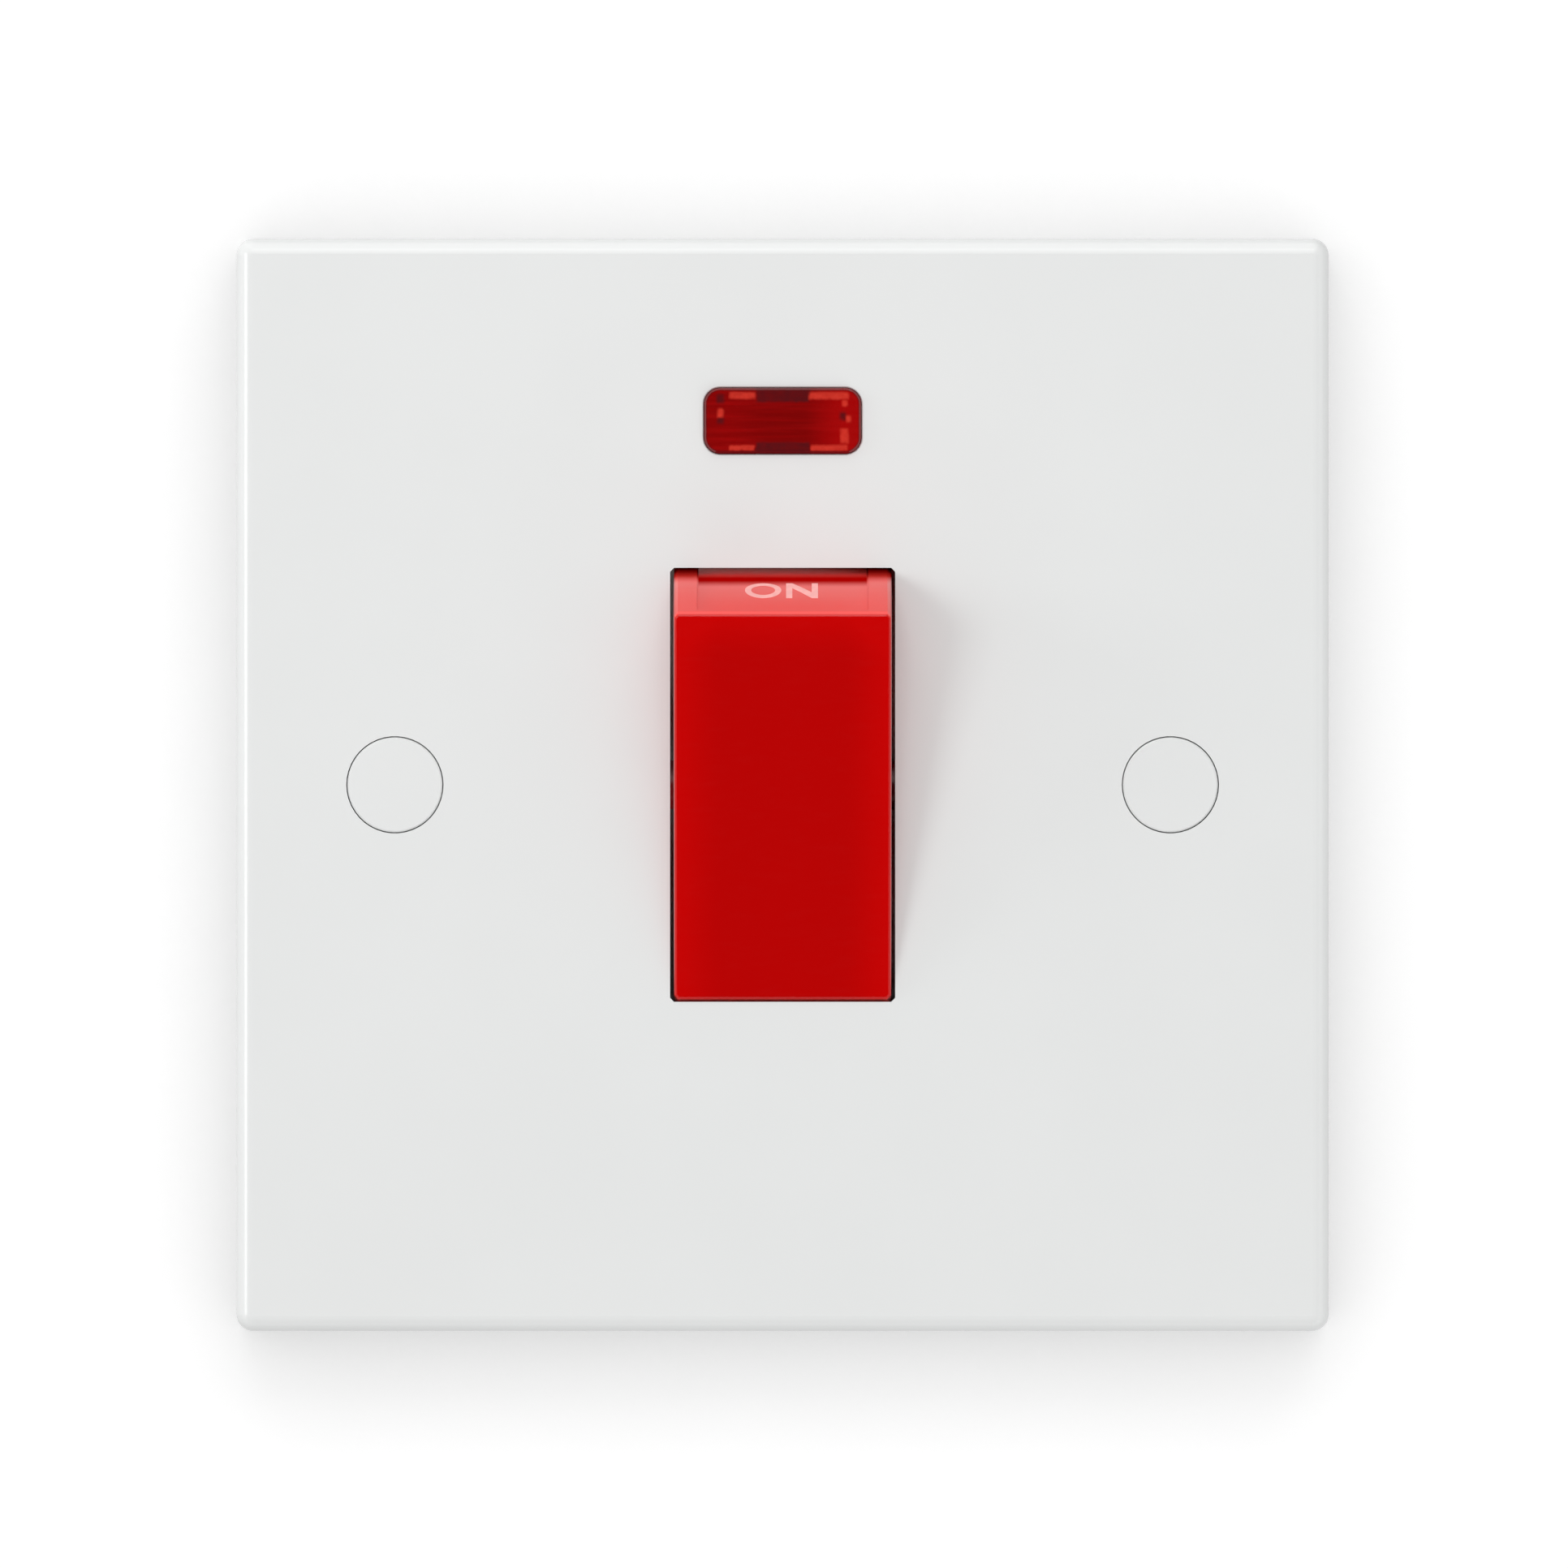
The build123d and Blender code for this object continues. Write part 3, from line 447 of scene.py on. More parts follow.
class SwitchStage(bpy.types.PropertyGroup):
    """Camera, lamps and backdrop"""

    camera_distance: length("Camera distance", "From the camera to the plate's front", 1.5)
    frame_width: length("Frame width", "Width seen at the plate's front", 121.92 * MM)
    aim_x: length("Aim across", "How far right of the switch the camera looks", 0.107 * MM)
    aim_z: length("Aim up", "How far above the switch's middle the camera looks", 0.063 * MM)
    key_level: level("Key lamp", "Share of the plate's light from the left", 0.15)
    side_level: level("Side lamp", "Share of the plate's light that skims it from the left", 0.03)
    low_level: level("Low lamp", "Share of the plate's light from the lower right", 0.095)
    front_level: level("Front lamp", "Share of the plate's light from above the camera", 0.14)
    top_level: level("Top lamp", "Share of the plate's light from above", 0.135)
    fill_level: level("Fill", "Share of the plate's light from all round", 0.475)
    rear_level: level("Rear lamp", "Share of the back's light from behind", 0.55)


# Surfaces -----------------------------------------------------------------------------------------


def grid_faces(rows, columns, closed_round):
    """The quads of a grid of points, numbered row by row.

    closed_round joins its last column to the first.
    """
    wide = columns if closed_round else columns - 1
    row, column = np.meshgrid(np.arange(rows - 1), np.arange(wide), indexing="ij")
    here, above = row * columns, (row + 1) * columns
    after = (column + 1) % columns
    corners = here + column, here + after, above + after, above + column
    return np.stack(corners, axis=-1).reshape(-1, 4)


def turned(middle, axis, radii, heights, angles):
    """Rings about an axis: point = middle + height * axis + radius * (cos a * across + sin a * up).

    Radii and heights hold one row for each ring and one column for each angle.
    """
    axis = np.asarray(axis, float)
    across = np.cross((0.0, 0.0, 1.0), axis)
    across /= np.linalg.norm(across)
    up = np.cross(axis, across)
    round_it = np.cos(angles)[:, None] * across + np.sin(angles)[:, None] * up
    radii, heights = np.broadcast_arrays(radii, heights)
    points = np.asarray(middle) + heights[..., None] * axis + radii[..., None] * round_it
    rows, columns = radii.shape
    return points.reshape(-1, 3), grid_faces(rows, columns, True)


def round_tube(path, radius, sides, reference):
    """A circle carried along a path: point = path + radius * (cos a * side + sin a * lift).

    The side is the path's direction crossed with the reference, and each end is closed to its own middle.
    """
    path = np.asarray(path, float)
    heading = np.gradient(path, axis=0)
    heading /= np.linalg.norm(heading, axis=1, keepdims=True)
    side = np.cross(heading, reference)
    side /= np.linalg.norm(side, axis=1, keepdims=True)
    lift = np.cross(side, heading)
    ends = np.r_[0, np.arange(len(path)), len(path) - 1]
    radii = np.full(len(ends), radius)
    radii[[0, -1]] = 0.0
    a = np.linspace(0, FULL_TURN, sides, endpoint=False)
    rim = np.cos(a)[None, :, None] * side[ends][:, None] + np.sin(a)[None, :, None] * lift[ends][:, None]
    points = path[ends][:, None] + radii[:, None, None] * rim
    return points.reshape(-1, 3), grid_faces(len(ends), sides, True)


def spline_points(name, route):
    """The points of a NURBS spline of order 3 whose control points are the route's points."""
    curve = bpy.data.curves.new(name + "_route", "CURVE")
    curve.dimensions = "3D"
    spline = curve.splines.new("NURBS")
    spline.points.add(len(route) - 1)
    spline.points.foreach_set("co", np.c_[route, np.ones(len(route))].ravel())
    spline.use_endpoint_u = True
    spline.order_u = 3
    spline.resolution_u = 16
    holder = bpy.data.objects.new(name + "_route", curve)
    line = bpy.data.meshes.new_from_object(holder)
    points = np.empty(3 * len(line.vertices))
    line.vertices.foreach_get("co", points)
    bpy.data.objects.remove(holder)
    bpy.data.curves.remove(curve)
    bpy.data.meshes.remove(line)
    return points.reshape(-1, 3)


def stacked(*parts):
    """Several (points, faces) as one."""
    starts = np.cumsum([0] + [len(points) for points, faces in parts[:-1]])
    points = np.concatenate([points for points, faces in parts])
    faces = np.concatenate([faces + start for start, (points, faces) in zip(starts, parts)])
    return points, faces


def add_piece(name, surface, finish, body, replaced=(), crease=35):
    """Puts a surface into a mesh at the origin and rides it on a body.

    Its seams and poles are welded and its faces turned outwards, and edges sharper than the crease, in
    degrees, stay sharp.
    """
    points, faces = surface
    mesh = bpy.data.meshes.new(name)
    mesh.from_pydata(points, [], faces.tolist())
    work = bmesh.new()
    work.from_mesh(mesh)
    bmesh.ops.remove_doubles(work, verts=work.verts, dist=WELD)
    bmesh.ops.dissolve_degenerate(work, edges=work.edges, dist=WELD)
    bmesh.ops.recalc_face_normals(work, faces=work.faces)
    open_edges = sum(not edge.is_manifold for edge in work.edges)
    work.to_mesh(mesh)
    work.free()
    if open_edges:
        raise RuntimeError(f"{name} isn't closed: {open_edges} open edges")
    mesh.shade_smooth()
    mesh.set_sharp_from_angle(angle=math.radians(crease))
    mesh.materials.append(finish)
    piece = bpy.data.objects.new(name, mesh)
    bpy.context.scene.collection.objects.link(piece)
    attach(piece, body)
    if replaced:
        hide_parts(*replaced)
    return piece


def dress(finish, *names):
    """Gives CAD nodes a finish in place of their plain one."""
    for name in names:
        node = frame["nodes"][name]
        for slot in node.material_slots:
            slot.material = finish


def joint_named(name):
    found = [joint for joint in frame["joints"] if joint["name"] == name]
    if not found:
        raise RuntimeError(f"the frame has no joint named {name}")
    return found[0]


# Letters ------------------------------------------------------------------------------------------


def letter_o(width, height, stroke):
    """A ring between two ellipses, with k from 0 to 1 across the stroke.

    x = (width / 2 - k * stroke) * cos a and s = (height / 2 - k * stroke) * sin a.
    """
    rings, sides = 4, 72
    turn = np.linspace(0, FULL_TURN, sides, endpoint=False)
    k, a = np.meshgrid(np.linspace(0, 1, rings), turn, indexing="ij")
    x = (width / 2 - k * stroke) * np.cos(a)
    s = (height / 2 - k * stroke) * np.sin(a)
    return np.stack([x, s], axis=-1).reshape(-1, 2), grid_faces(rings, sides, True)


def letter_n(width, height, stroke):
    """Two uprights and a slant between their inner edges: x = left + u wide, s = low(u) + v tall.

    The uprights have rows of points where the slant meets them, so the three strokes share their edges.
    """
    slant = 1.9 * stroke
    rows = np.r_[
        np.linspace(0, slant, 5),
        np.linspace(slant, height - slant, 8)[1:],
        np.linspace(height - slant, height, 5)[1:],
    ]
    inner = width - 2 * stroke
    u, v = np.meshgrid(np.linspace(0, 1, 3), rows, indexing="ij")
    left = np.stack([u * stroke, v], axis=-1)
    right = np.stack([width - stroke + u * stroke, v], axis=-1)
    u, v = np.meshgrid(np.linspace(0, 1, 12), np.linspace(0, slant, 5), indexing="ij")
    between = np.stack([stroke + u * inner, (1 - u) * (height - slant) + v], axis=-1)
    strokes = [(part.reshape(-1, 2), grid_faces(*part.shape[:2], False)) for part in (left, between, right)]
    points, faces = stacked(*strokes)
    points, shared = np.unique(np.round(points, 9), axis=0, return_inverse=True)
    return points - (width / 2, height / 2), shared.ravel()[faces]


def raised_letter(outline, middle, axle, radius, lift, sink):
    """A flat letter wrapped on a cylinder: angle = middle + s / radius.

    Its top is at radius + lift and its hidden underside at radius - sink, and a wall joins them along the
    edges that only one quad has.
    """
    (x, s), faces = outline[0].T, outline[1]
    angle = middle + s / radius
    skins = [
        np.stack([x, -(radius + step) * np.cos(angle), (radius + step) * np.sin(angle)], axis=-1)
        for step in (lift, -sink)
    ]
    number = len(x)
    start = faces.ravel()
    end = np.roll(faces, -1, axis=1).ravel()
    alone = ~np.isin(start * number + end, end * number + start)
    start, end = start[alone], end[alone]
    wall = np.stack([end, start, start + number, end + number], axis=-1)
    faces = np.concatenate([faces, faces[:, ::-1] + number, wall])
    return np.concatenate(skins) + axle, faces


# Screws -------------------------------------------------------------------------------------------


def thread(core, crest, pitch, heights, angles, run_out):
    """Radius of a thread: core + (crest - core) * a triangle wave of height / pitch - angle / turn.

    It runs out to the core over the run_out at both ends.
    """
    phase = (heights[:, None] / pitch - angles[None, :] / FULL_TURN) % 1.0
    tooth = np.clip(1.6 * (1 - np.abs(2 * phase - 1)) - 0.3, 0, 1)
    from_end = np.minimum(heights - heights.min(), heights.max() - heights)
    return core + (crest - core) * tooth * np.clip(from_end / run_out, 0, 1)[:, None]


def cross_screw(middle, seat, top, tip, head, shank, pitch):
    """A pan head with a cross recess on a threaded shank, its axis along Y with the head to the back.

    The recess reaches the least of arm / |cos| and half arm width / |sin| in each direction.
    """
    half, arm = 0.2 * head, 0.62 * head
    corner = math.atan2(half, arm)
    eighth = np.r_[
        np.linspace(-math.pi / 4, -corner, 5)[:-1],
        np.linspace(-corner, corner, 5)[:-1],
        np.linspace(corner, math.pi / 4, 5)[:-1],
    ]
    angles = (eighth[None, :] + np.arange(4)[:, None] * math.pi / 2).ravel()
    folded = np.tile(eighth, 4)
    reach = np.minimum(arm / np.cos(folded), half / np.maximum(np.abs(np.sin(folded)), WELD))
    crown = 0.28 * (top - seat)
    floor = top - 0.62 * (top - seat)

    def dome(radius):
        return top - crown * (radius / head) ** 2

    out = [reach + share * (head - reach) for share in (0.0, 0.35, 0.7, 0.92)]
    full = np.full_like(angles, 1.0)
    edge = 0.12 * (top - seat)
    radii = [0 * full, 0.4 * reach, 0.84 * reach, *out, head * full, head * full, (head - edge) * full]
    heights = [floor * full, floor * full, (floor + edge) * full, *map(dome, out)]
    heights += [dome(head) * full, (seat + edge) * full, seat * full]
    run = np.linspace(seat, tip, int(10 * (seat - tip) / pitch))
    core = 0.78 * shank
    radii += [*thread(core, shank, pitch, run, angles, pitch), 0 * full]
    heights += [*(run[:, None] * full), tip * full]
    return turned((middle[0], 0.0, middle[1]), (0, 1, 0), np.array(radii), np.array(heights), angles)


def slot_screw(middle, top, tip, radius, pitch, slot):
    """A headless screw with a slot right across its end, its axis along Y with the slot to the back.

    In the slot's own directions the floor runs out to the rim, and in the others it stops at half the
    slot / |sin|.
    """
    half = slot / 2
    mouth = math.asin(half / radius)
    floor = top - 1.1 * MM
    bevel = 0.15 * MM
    in_slot = np.linspace(-mouth, mouth, 7)
    beside = np.linspace(mouth, math.pi - mouth, 23)
    angles = np.r_[in_slot, beside, in_slot + math.pi, beside + math.pi]
    open_end = np.r_[in_slot * 0 + 1, beside * 0, in_slot * 0 + 1, beside * 0] > 0.5
    reach = np.where(open_end, radius, half / np.maximum(np.abs(np.sin(angles)), WELD))

    def land(distance):
        return np.where(open_end, floor, top - np.maximum(0, distance - (radius - bevel)))

    full = np.full_like(angles, 1.0)
    inner = np.maximum(reach, radius - bevel)
    below = floor - 0.2 * MM
    radii = [0 * full, 0.5 * reach, reach, reach, (reach + inner) / 2, inner, radius * full]
    heights = [floor * full] * 3 + [land(distance) for distance in radii[3:]]
    run = np.linspace(below, tip, int(10 * (below - tip) / pitch))
    radii += [*thread(0.84 * radius, radius, pitch, run, angles, pitch), 0 * full]
    heights += [*(run[:, None] * full), tip * full]
    return turned((middle[0], 0.0, middle[1]), (0, 1, 0), np.array(radii), np.array(heights), angles)


# Operators ----------------------------------------------------------------------------------------


class SWITCH_OT_mouldings(bpy.types.Operator):
    """Finish the plate, its caps and the moulded pieces behind it"""

    bl_idname = "switch.mouldings"
    bl_label = "Mouldings"

    def execute(self, context):
        tints = context.scene.switch_colours
        dress(moulded_finish("white_plate", tints.plate, 0.20, 0.006, 0.0006 * MM), "front_plate")
        dress(moulded_finish("white_cap", tints.plate, 0.21, 0.006, 0.0006 * MM), "screw_caps")
        dress(moulded_finish("off_white_frame", tints.frame, 0.5, 0.04, 0.010 * MM), "mechanism_frame")
        dress(moulded_finish("off_white_base", tints.base, 0.5, 0.04, 0.012 * MM), "mechanism_base")
        dress(moulded_finish("white_holder", tints.holder, 0.45, 0.03, 0.008 * MM), "neon_holder")
        plungers = [f"{pole}_plunger" for pole in POLES]
        dress(moulded_finish("natural_plunger", tints.plunger, 0.4, 0.05), *plungers)
        return {"FINISHED"}


class SWITCH_OT_rocker(bpy.types.Operator):
    """Finish the red rocker"""

    bl_idname = "switch.rocker"
    bl_label = "Rocker"

    tilt = math.radians(12)

    def execute(self, context):
        outward = (0.0, -math.cos(self.tilt), -math.sin(self.tilt))
        tints = context.scene.switch_colours
        dress(rocker_finish("gloss_red", tints.rocker, tints.rocker_end, outward), "rocker")
        return {"FINISHED"}


class SWITCH_OT_neon(bpy.types.Operator):
    """Finish the neon's lens and its glass tube"""

    bl_idname = "switch.neon"
    bl_label = "Neon"

    half_width = 6.1 * MM
    half_height = 2.55 * MM
    corner_radius = 1.25 * MM

    def execute(self, context):
        tints = context.scene.switch_colours
        low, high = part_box("neon_lens")
        corners = (low + high) / 2, self.half_width, self.half_height, self.corner_radius
        # Painted light for the walls that guide light, painted shade for the slots and the rim.
        bright, dark = tints.lens_wall, tints.lens_slot
        features = (
            (0.0, 2.05, 1.93, 0.43, 0.29, dark),
            (0.0, -2.15, 1.93, 0.35, 0.29, dark),
            (-3.15, 1.95, 0.84, 0.12, 0.28, bright),
            (3.60, 1.95, 1.40, 0.12, 0.30, bright),
            (-3.15, -2.12, 0.84, 0.08, 0.24, bright),
            (3.60, -2.12, 1.30, 0.08, 0.26, bright),
            (-4.85, 1.70, 0.10, 0.15, 0.40, dark),
            (-4.85, 0.58, 0.06, 0.18, 0.32, bright),
            (-4.80, 0.00, 0.08, 0.05, 0.35, dark),
            (4.82, 1.36, 0.05, 0.08, 0.30, bright),
            (4.70, 0.35, 0.06, 0.10, 0.42, dark),
            (5.12, 0.15, 0.02, 0.10, 0.30, bright),
            (4.82, -1.20, 0.12, 0.42, 0.32, bright),
        )
        patches = [(*(MM * size for size in sizes), shade) for *sizes, shade in features]
        dress(lens_finish("clear_red", tints.lens, tints.lens_slot, corners, patches), "neon_lens")
        dress(glass_finish("thin_glass", tints.glass), "neon_bulb")
        return {"FINISHED"}


class SWITCH_OT_contacts(bpy.types.Operator):
    """Finish the terminals, the contact arms and the contacts"""

    bl_idname = "switch.contacts"
    bl_label = "Contacts"

    def execute(self, context):
        tints = context.scene.switch_colours
        brass = metal_finish("drawn_brass", tints.brass, 0.3, (1.0, 1.0, 0.12))
        copper = metal_finish("rolled_copper", tints.copper, 0.32, (1.0, 1.0, 0.12))
        silver = metal_finish("worn_silver", tints.silver, 0.28, (1.0, 1.0, 1.0), 0.4)
        for pole in POLES:
            dress(brass, f"{pole}_load_terminal", f"{pole}_supply_terminal")
            dress(copper, f"{pole}_contact_arm")
            dress(silver, f"{pole}_fixed_contact", f"{pole}_moving_contact")
        return {"FINISHED"}


class SWITCH_OT_lettering(bpy.types.Operator):
    """Print ON on the label panel at the rocker's upper end"""

    bl_idname = "switch.lettering"
    bl_label = "Lettering"

    axle_to_panel = 16.942 * MM
    middle_angle = math.radians(62.95)
    middle_x = -0.09 * MM
    sink = 0.05 * MM

    def execute(self, context):
        sizes = context.scene.switch_sizes
        axle = np.array(joint_named("rocker_tilt")["pos_m"])
        wide = sizes.o_width + sizes.letter_gap + sizes.n_width
        letters = {
            letter_o: (sizes.o_width, self.middle_x - wide / 2 + sizes.o_width / 2),
            letter_n: (sizes.n_width, self.middle_x + wide / 2 - sizes.n_width / 2),
        }
        parts = []
        for shape, (width, x) in letters.items():
            outline = shape(width, sizes.letter_height, sizes.letter_stroke)
            wrap = self.middle_angle, axle + (x, 0, 0), self.axle_to_panel
            parts.append(raised_letter(outline, *wrap, sizes.letter_lift, self.sink))
        finish = paint_finish("letter_paint", context.scene.switch_colours.letters)
        add_piece("rocker_lettering", stacked(*parts), finish, "rocker", crease=40)
        return {"FINISHED"}


class SWITCH_OT_springs(bpy.types.Operator):
    """Wind the two plunger springs"""

    bl_idname = "switch.springs"
    bl_label = "Springs"

    behind_axle = 2.0 * MM
    rise = 6.85 * MM
    squeezed = 0.891
    pole_x = 5.0 * MM
    steps_per_turn = 40
    wire_sides = 12

    def execute(self, context):
        sizes = context.scene.switch_sizes
        finish = metal_finish("spring_wire", context.scene.switch_colours.spring, 0.3, (1.0, 1.0, 1.0), 0.2)
        axle = np.array(joint_named("rocker_tilt")["pos_m"])
        turns = sizes.spring_turns
        angle = np.linspace(0, FULL_TURN * turns, int(self.steps_per_turn * turns))
        closed_turn = 2.1 * sizes.spring_wire
        stations = 0, closed_turn, self.rise - closed_turn, self.rise
        climb = np.interp(angle / FULL_TURN, (0, 1, turns - 1, turns), stations)
        for pole, side in POLES.items():
            joint = f"{pole}_plunger_slide"
            forward = np.array(joint_named(joint)["axis"])
            across = np.array((1.0, 0.0, 0.0))
            up = np.cross(forward, across)
            start = axle + (side * self.pole_x, 0, 0) - self.behind_axle * forward
            coil = sizes.spring_radius * (np.cos(angle)[:, None] * across + np.sin(angle)[:, None] * up)
            path = start + climb[:, None] * forward + coil
            name = f"{pole}_spring"
            surface = round_tube(path, sizes.spring_wire, self.wire_sides, forward)
            piece = add_piece(f"{pole}_coil", surface, finish, "rocker", (name,), 60)
            seat = start + (self.rise + sizes.spring_wire) * forward
            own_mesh(piece)
        return {"FINISHED"}


class SWITCH_OT_housing_screws(bpy.types.Operator):
    """Cut the two screws that hold the housing"""

    bl_idname = "switch.housing_screws"
    bl_label = "Housing screws"

    head = 2.7 * MM
    shank = 1.45 * MM
    head_height = 2.0 * MM

    def execute(self, context):
        low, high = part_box("housing_screws")
        pitch = context.scene.switch_sizes.housing_pitch
        x = high.x - self.head
        levels = high.y - self.head_height, high.y, low.y
        places = [(side * x, 0.0) for side in POLES.values()]
        screws = stacked(*(cross_screw(place, *levels, self.head, self.shank, pitch) for place in places))
        finish = metal_finish("zinc_plate", context.scene.switch_colours.zinc, 0.3, (1.0, 0.3, 1.0), 0.3)
        add_piece("housing_cross_screws", screws, finish, "switch_body", ("housing_screws",))
        return {"FINISHED"}


class SWITCH_OT_clamp_screws(bpy.types.Operator):
    """Cut the four slotted screws that clamp the wires"""

    bl_idname = "switch.clamp_screws"
    bl_label = "Clamp screws"

    radius = 2.0 * MM

    def execute(self, context):
        low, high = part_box("terminal_screws")
        sizes = context.scene.switch_sizes
        x, z = high.x - self.radius, high.z - self.radius
        places = [(across * x, up * z) for across in POLES.values() for up in POLES.values()]
        cut = high.y, low.y, self.radius, sizes.clamp_pitch, sizes.slot_width
        screws = stacked(*(slot_screw(place, *cut) for place in places))
        tint = context.scene.switch_colours.plated
        finish = metal_finish("clamp_plate", tint, 0.28, (1.0, 0.3, 1.0), 0.3)
        replaced = ("terminal_screws",)
        add_piece("slotted_clamp_screws", screws, finish, "switch_body", replaced)
        return {"FINISHED"}


class SWITCH_OT_wiring(bpy.types.Operator):
    """Run the neon's electrodes, resistor and sleeved leads"""

    bl_idname = "switch.wiring"
    bl_label = "Neon wiring"

    wire_radius = 0.27 * MM
    reference = (0.577, -0.577, 0.577)
    front_y, rear_y = -1.8, 3.1
    low_z, high_z = 27.505, 29.105
    bend_z, pole_x, pole_y, pole_z = 27.5, 13, 11.6, 24

    def execute(self, context):
        tints = context.scene.switch_colours
        sizes = context.scene.switch_sizes
        sides = sizes.round_sides
        self.electrodes(metal_finish("nickel_wire", tints.nickel, 0.3, (0.3, 1.0, 1.0)), sides)
        self.resistor(tints.resistor)
        sleeve = sleeve_finish("woven_sleeve", tints.sleeve)
        for node, route in self.routes().items():
            path = spline_points(node, MM * np.array(route))
            surface = round_tube(path, sizes.sleeve_radius, sides, self.reference)
            add_piece(f"{node}_sleeve", surface, sleeve, "switch_body", (node,))
        return {"FINISHED"}

    def routes(self):
        """The turning points of each lead, in millimetres.

        The resistor's lead runs along the holder, and the others turn back and down to their terminals.
        """
        y = self.rear_y
        starts = {"line": (3.3, y, self.high_z), "neutral": (-5.6, y, self.low_z)}
        routes = {"neon_resistor_lead": [(x, y, self.high_z) for x in (-3.2, -5.0, -6.8)]}
        for pole, side in POLES.items():
            x = side * self.pole_x
            drop = (x, y, self.bend_z), (x, self.pole_y, self.bend_z), (x, self.pole_y, self.pole_z)
            routes[f"{pole}_neon_lead"] = (starts[pole], *drop)
        return routes

    def electrodes(self, finish, sides):
        wires = []
        y, bend_x = self.front_y, -6.2
        for z in (self.low_z, self.high_z):
            along_tube = (3.4, y, z), (-5.2, y, z), (bend_x, y, z)
            to_rear = (bend_x, -0.8, z), (bend_x, 2.57, z)
            path = spline_points("electrode", MM * np.array(along_tube + to_rear))
            wires.append(round_tube(path, self.wire_radius, sides, (0.0, 0.0, 1.0)))
        surface = stacked(*wires)
        add_piece("electrode_wires", surface, finish, "switch_body", ("neon_electrodes",))

    def resistor(self, tint):
        """A dog bone: radius = waist + (end - waist) * a smooth hump at each end.

        The ends are closed by rounded shoulders.
        """
        low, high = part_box("neon_resistor")
        middle, half = (low + high) / 2, (high.x - low.x) / 2
        widest = (high.z - low.z) / 2
        u = np.sin(np.linspace(-math.pi / 2, math.pi / 2, 61))
        hump = np.exp(-(((np.abs(u) - 0.72) / 0.22) ** 2))
        shoulder = np.sqrt(np.clip(1 - np.clip((np.abs(u) - 0.78) / 0.22, 0, 1) ** 2, 0, 1))
        radii = widest * (0.76 + 0.24 * hump) * shoulder
        angles = np.linspace(0, FULL_TURN, 32, endpoint=False)
        full = np.ones_like(angles)
        surface = turned(middle, (1, 0, 0), radii[:, None] * full, (half * u)[:, None] * full, angles)
        rings = [
            (-2.2 * MM, paint(150, 90, 40)),
            (-1.0 * MM, paint(50, 80, 170)),
            (0.0, paint(235, 200, 50)),
            (2.1 * MM, paint(190, 150, 60)),
        ]
        finish = resistor_finish("lacquered_resistor", tint, rings)
        add_piece("banded_resistor", surface, finish, "switch_body", ("neon_resistor",))


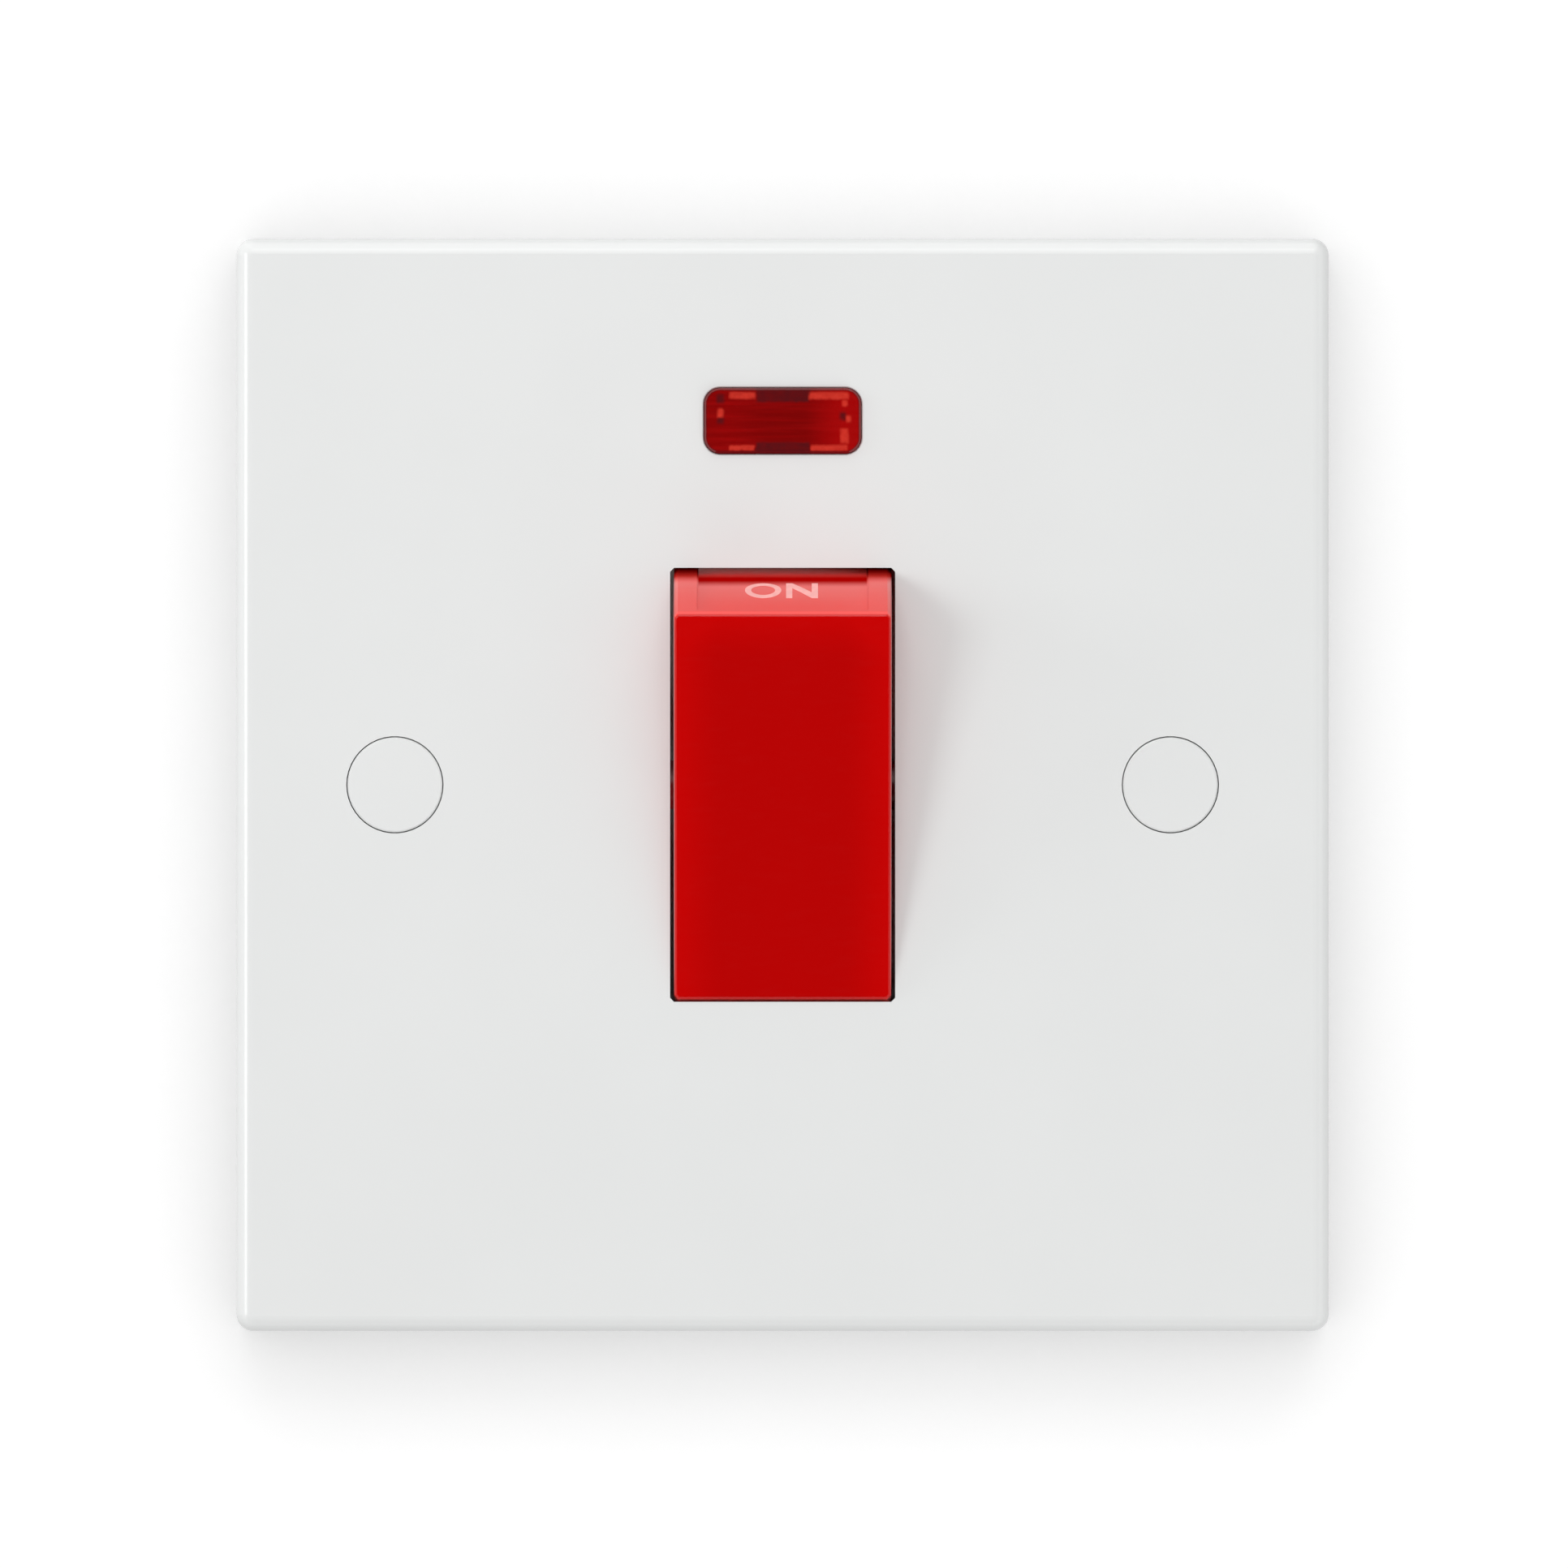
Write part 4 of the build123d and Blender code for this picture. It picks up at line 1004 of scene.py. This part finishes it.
class SWITCH_OT_stage(bpy.types.Operator):
    """Set the white wall, the soft lamps and the camera square to the plate"""

    bl_idname = "switch.stage"
    bl_label = "Stage"

    wall_gap = 0.3 * MM
    wall_hole = 41.5 * MM
    wall_reach = 1.2
    shade_reach = 12 * MM

    def execute(self, context):
        stage = context.scene.switch_stage
        plate_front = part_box("front_plate")[0].y
        self.camera(context.scene, stage, plate_front)
        wall = self.wall()
        self.dark_side()
        self.world(context.scene, stage.fill_level)
        front, back = (0, -1, 0), (0, 1, 0)
        self.lamp("key_lamp", (-0.92, -0.92, 0.10), 0.40, stage.key_level, front, wall)
        side = self.lamp("side_lamp", (-1.0, -0.12, 0.15), 0.35, stage.side_level, front, wall)
        low = self.lamp("low_lamp", (0.55, -0.30, -0.72), 0.55, stage.low_level, front, wall)
        self.lamp("front_lamp", (0.0, -1.0, 0.5), 0.6, stage.front_level, front, wall)
        self.lamp("top_lamp", (0.04, -0.45, 0.78), 0.9, stage.top_level, front)
        self.lamp("rear_lamp", (0.35, 0.75, 0.45), 0.6, stage.rear_level, back)
        # The side and low lamps are there for the plate's edges: no gloss shows them, and the rocker
        # throws no shadow of the low one.
        side.visible_glossy = low.visible_glossy = False
        low.light_linking.blocker_collection = self.all_but("low_lamp_passes", frame["nodes"]["rocker"])
        context.scene.view_settings.view_transform = "Standard"
        return {"FINISHED"}

    def camera(self, scene, stage, plate_front):
        sight = bpy.data.cameras.new("square_camera")
        sight.sensor_width = 36.0
        sight.lens = sight.sensor_width * stage.camera_distance / stage.frame_width
        holder = bpy.data.objects.new("square_camera", sight)
        holder.location = (stage.aim_x, plate_front - stage.camera_distance, stage.aim_z)
        holder.rotation_euler = (math.pi / 2, 0, 0)
        scene.collection.objects.link(holder)
        scene.camera = holder

    def lamp(self, name, place, size, share, facing, spared=None):
        """An area lamp aimed at the switch.

        Its power gives a surface turned to facing that share of plain light. A spared board isn't lit by
        it, so that it shows no hard shadow of this lamp.
        """
        place = np.array(place)
        distance = np.linalg.norm(place)
        slope = np.dot(place / distance, facing)
        light = bpy.data.lights.new(name, "AREA")
        light.shape = "SQUARE"
        light.size = size
        light.energy = share * math.pi**2 * (distance**2 + size**2 / 3) / slope
        holder = bpy.data.objects.new(name, light)
        holder.location = place
        holder.rotation_mode = "QUATERNION"
        aim = Vector(-place)
        holder.rotation_quaternion = aim.to_track_quat("-Z", "Y")
        holder.visible_camera = False
        bpy.context.scene.collection.objects.link(holder)
        if spared:
            holder.light_linking.receiver_collection = self.all_but(f"{name}_spares", spared)
        return holder

    def all_but(self, name, thing):
        """A light group of everything but one object."""
        group = bpy.data.collections.new(name)
        group.objects.link(thing)
        group.collection_objects[0].light_linking.link_state = "EXCLUDE"
        return group

    def board(self, name, points, faces, finish):
        mesh = bpy.data.meshes.new(name)
        mesh.from_pydata(points, [], faces.tolist())
        mesh.materials.append(finish)
        board = bpy.data.objects.new(name, mesh)
        bpy.context.scene.collection.objects.link(board)
        return board

    def wall(self):
        """A sheet just in front of the rim's rear edge, with a square hole that ends inside the rim.

        From behind it isn't there, so the back can be seen.
        """
        lines = np.array((-self.wall_reach, -self.wall_hole, self.wall_hole, self.wall_reach))
        x, z = np.meshgrid(lines, lines, indexing="ij")
        points = np.stack([x, 0 * x - self.wall_gap, z], axis=-1).reshape(-1, 3)
        centre_quad = 4
        faces = np.delete(grid_faces(len(lines), len(lines), False), centre_quad, axis=0)
        material, look = new_finish("white_wall")
        roll = look.noise(6 * MM, 2.0)
        tint = look.blend(roll, (0.54, 0.54, 0.54, 1.0), (0.56, 0.56, 0.56, 1.0))
        matt = look.node("ShaderNodeBsdfDiffuse", None, {"Color": tint})
        shade = {"Distance": self.shade_reach}
        # Painted shadow: occlusion near the plate dims the glow that keeps the sheet white, a painted soft
        # shadow round the plate.
        ao_painted_shadow = look.node("ShaderNodeAmbientOcclusion", {"samples": 8}, shade, "AO")
        white = look.seen() * (0.22 + 0.51 * ao_painted_shadow)
        glow = look.node("ShaderNodeEmission", None, {"Color": (1, 1, 1, 1), "Strength": white})
        front = look.node("ShaderNodeAddShader", None, {0: matt, 1: glow})
        clear = look.node("ShaderNodeBsdfTransparent")
        behind = look.node("ShaderNodeNewGeometry", output="Backfacing")
        look.close(look.node("ShaderNodeMixShader", None, {0: behind, 1: front, 2: clear}))
        return self.board("wall", points, faces[:, ::-1], material)

    def dark_side(self):
        """The unlit side of the studio behind the camera, which only gloss shows."""
        behind_camera = -1.75
        x, z = np.meshgrid((-1.6, 1.6), (-2.6, 0.7), indexing="ij")
        points = np.stack([x, 0 * x + behind_camera, z], axis=-1).reshape(-1, 3)
        material, look = new_finish("dark_studio")
        folds = look.noise(0.2, 2.0)
        tint = look.blend(folds, (0.01, 0.01, 0.01, 1.0), (0.03, 0.03, 0.03, 1.0))
        look.close(look.node("ShaderNodeBsdfDiffuse", None, {"Color": tint}))
        board = self.board("studio_dark_side", points, grid_faces(2, 2, False), material)
        board.visible_camera = board.visible_diffuse = False
        board.visible_shadow = board.visible_transmission = False

    def world(self, scene, fill):
        scene.world = bpy.data.worlds.new("studio")
        scene.world.use_nodes = True
        look = Finish(scene.world.node_tree)
        strength = fill + (1 - fill) * look.seen()
        light = look.node("ShaderNodeBackground", None, {"Color": (1, 1, 1, 1), "Strength": strength})
        look.node("ShaderNodeOutputWorld", None, {"Surface": light})


class SWITCH_PT_sidebar(bpy.types.Panel):
    """Lists the pieces of the switch and their sizes"""

    bl_idname = "SWITCH_PT_sidebar"
    bl_label = "Double pole switch"
    bl_space_type = "VIEW_3D"
    bl_region_type = "UI"
    bl_category = "Switch"

    def draw(self, context):
        for operator in OPERATORS:
            self.layout.operator(operator.bl_idname)
        for group in ("switch_sizes", "switch_colours", "switch_stage"):
            values = getattr(context.scene, group)
            box = self.layout.box()
            for name in values.bl_rna.properties.keys():
                if name not in ("rna_type", "name"):
                    box.prop(values, name)


OPERATORS = (
    SWITCH_OT_mouldings,
    SWITCH_OT_rocker,
    SWITCH_OT_neon,
    SWITCH_OT_contacts,
    SWITCH_OT_lettering,
    SWITCH_OT_springs,
    SWITCH_OT_housing_screws,
    SWITCH_OT_clamp_screws,
    SWITCH_OT_wiring,
    SWITCH_OT_stage,
)
CLASSES = (SwitchSizes, SwitchColours, SwitchStage, *OPERATORS, SWITCH_PT_sidebar)


def register():
    for each in CLASSES:
        bpy.utils.register_class(each)
    bpy.types.Scene.switch_sizes = bpy.props.PointerProperty(type=SwitchSizes)
    bpy.types.Scene.switch_colours = bpy.props.PointerProperty(type=SwitchColours)
    bpy.types.Scene.switch_stage = bpy.props.PointerProperty(type=SwitchStage)


def unregister():
    del bpy.types.Scene.switch_stage
    del bpy.types.Scene.switch_colours
    del bpy.types.Scene.switch_sizes
    for each in reversed(CLASSES):
        bpy.utils.unregister_class(each)


def main():
    register()
    bpy.ops.switch.mouldings()
    bpy.ops.switch.rocker()
    bpy.ops.switch.neon()
    bpy.ops.switch.contacts()
    bpy.ops.switch.lettering()
    bpy.ops.switch.springs()
    bpy.ops.switch.housing_screws()
    bpy.ops.switch.clamp_screws()
    bpy.ops.switch.wiring()
    bpy.ops.switch.stage()


if __name__ == "__main__":
    main()
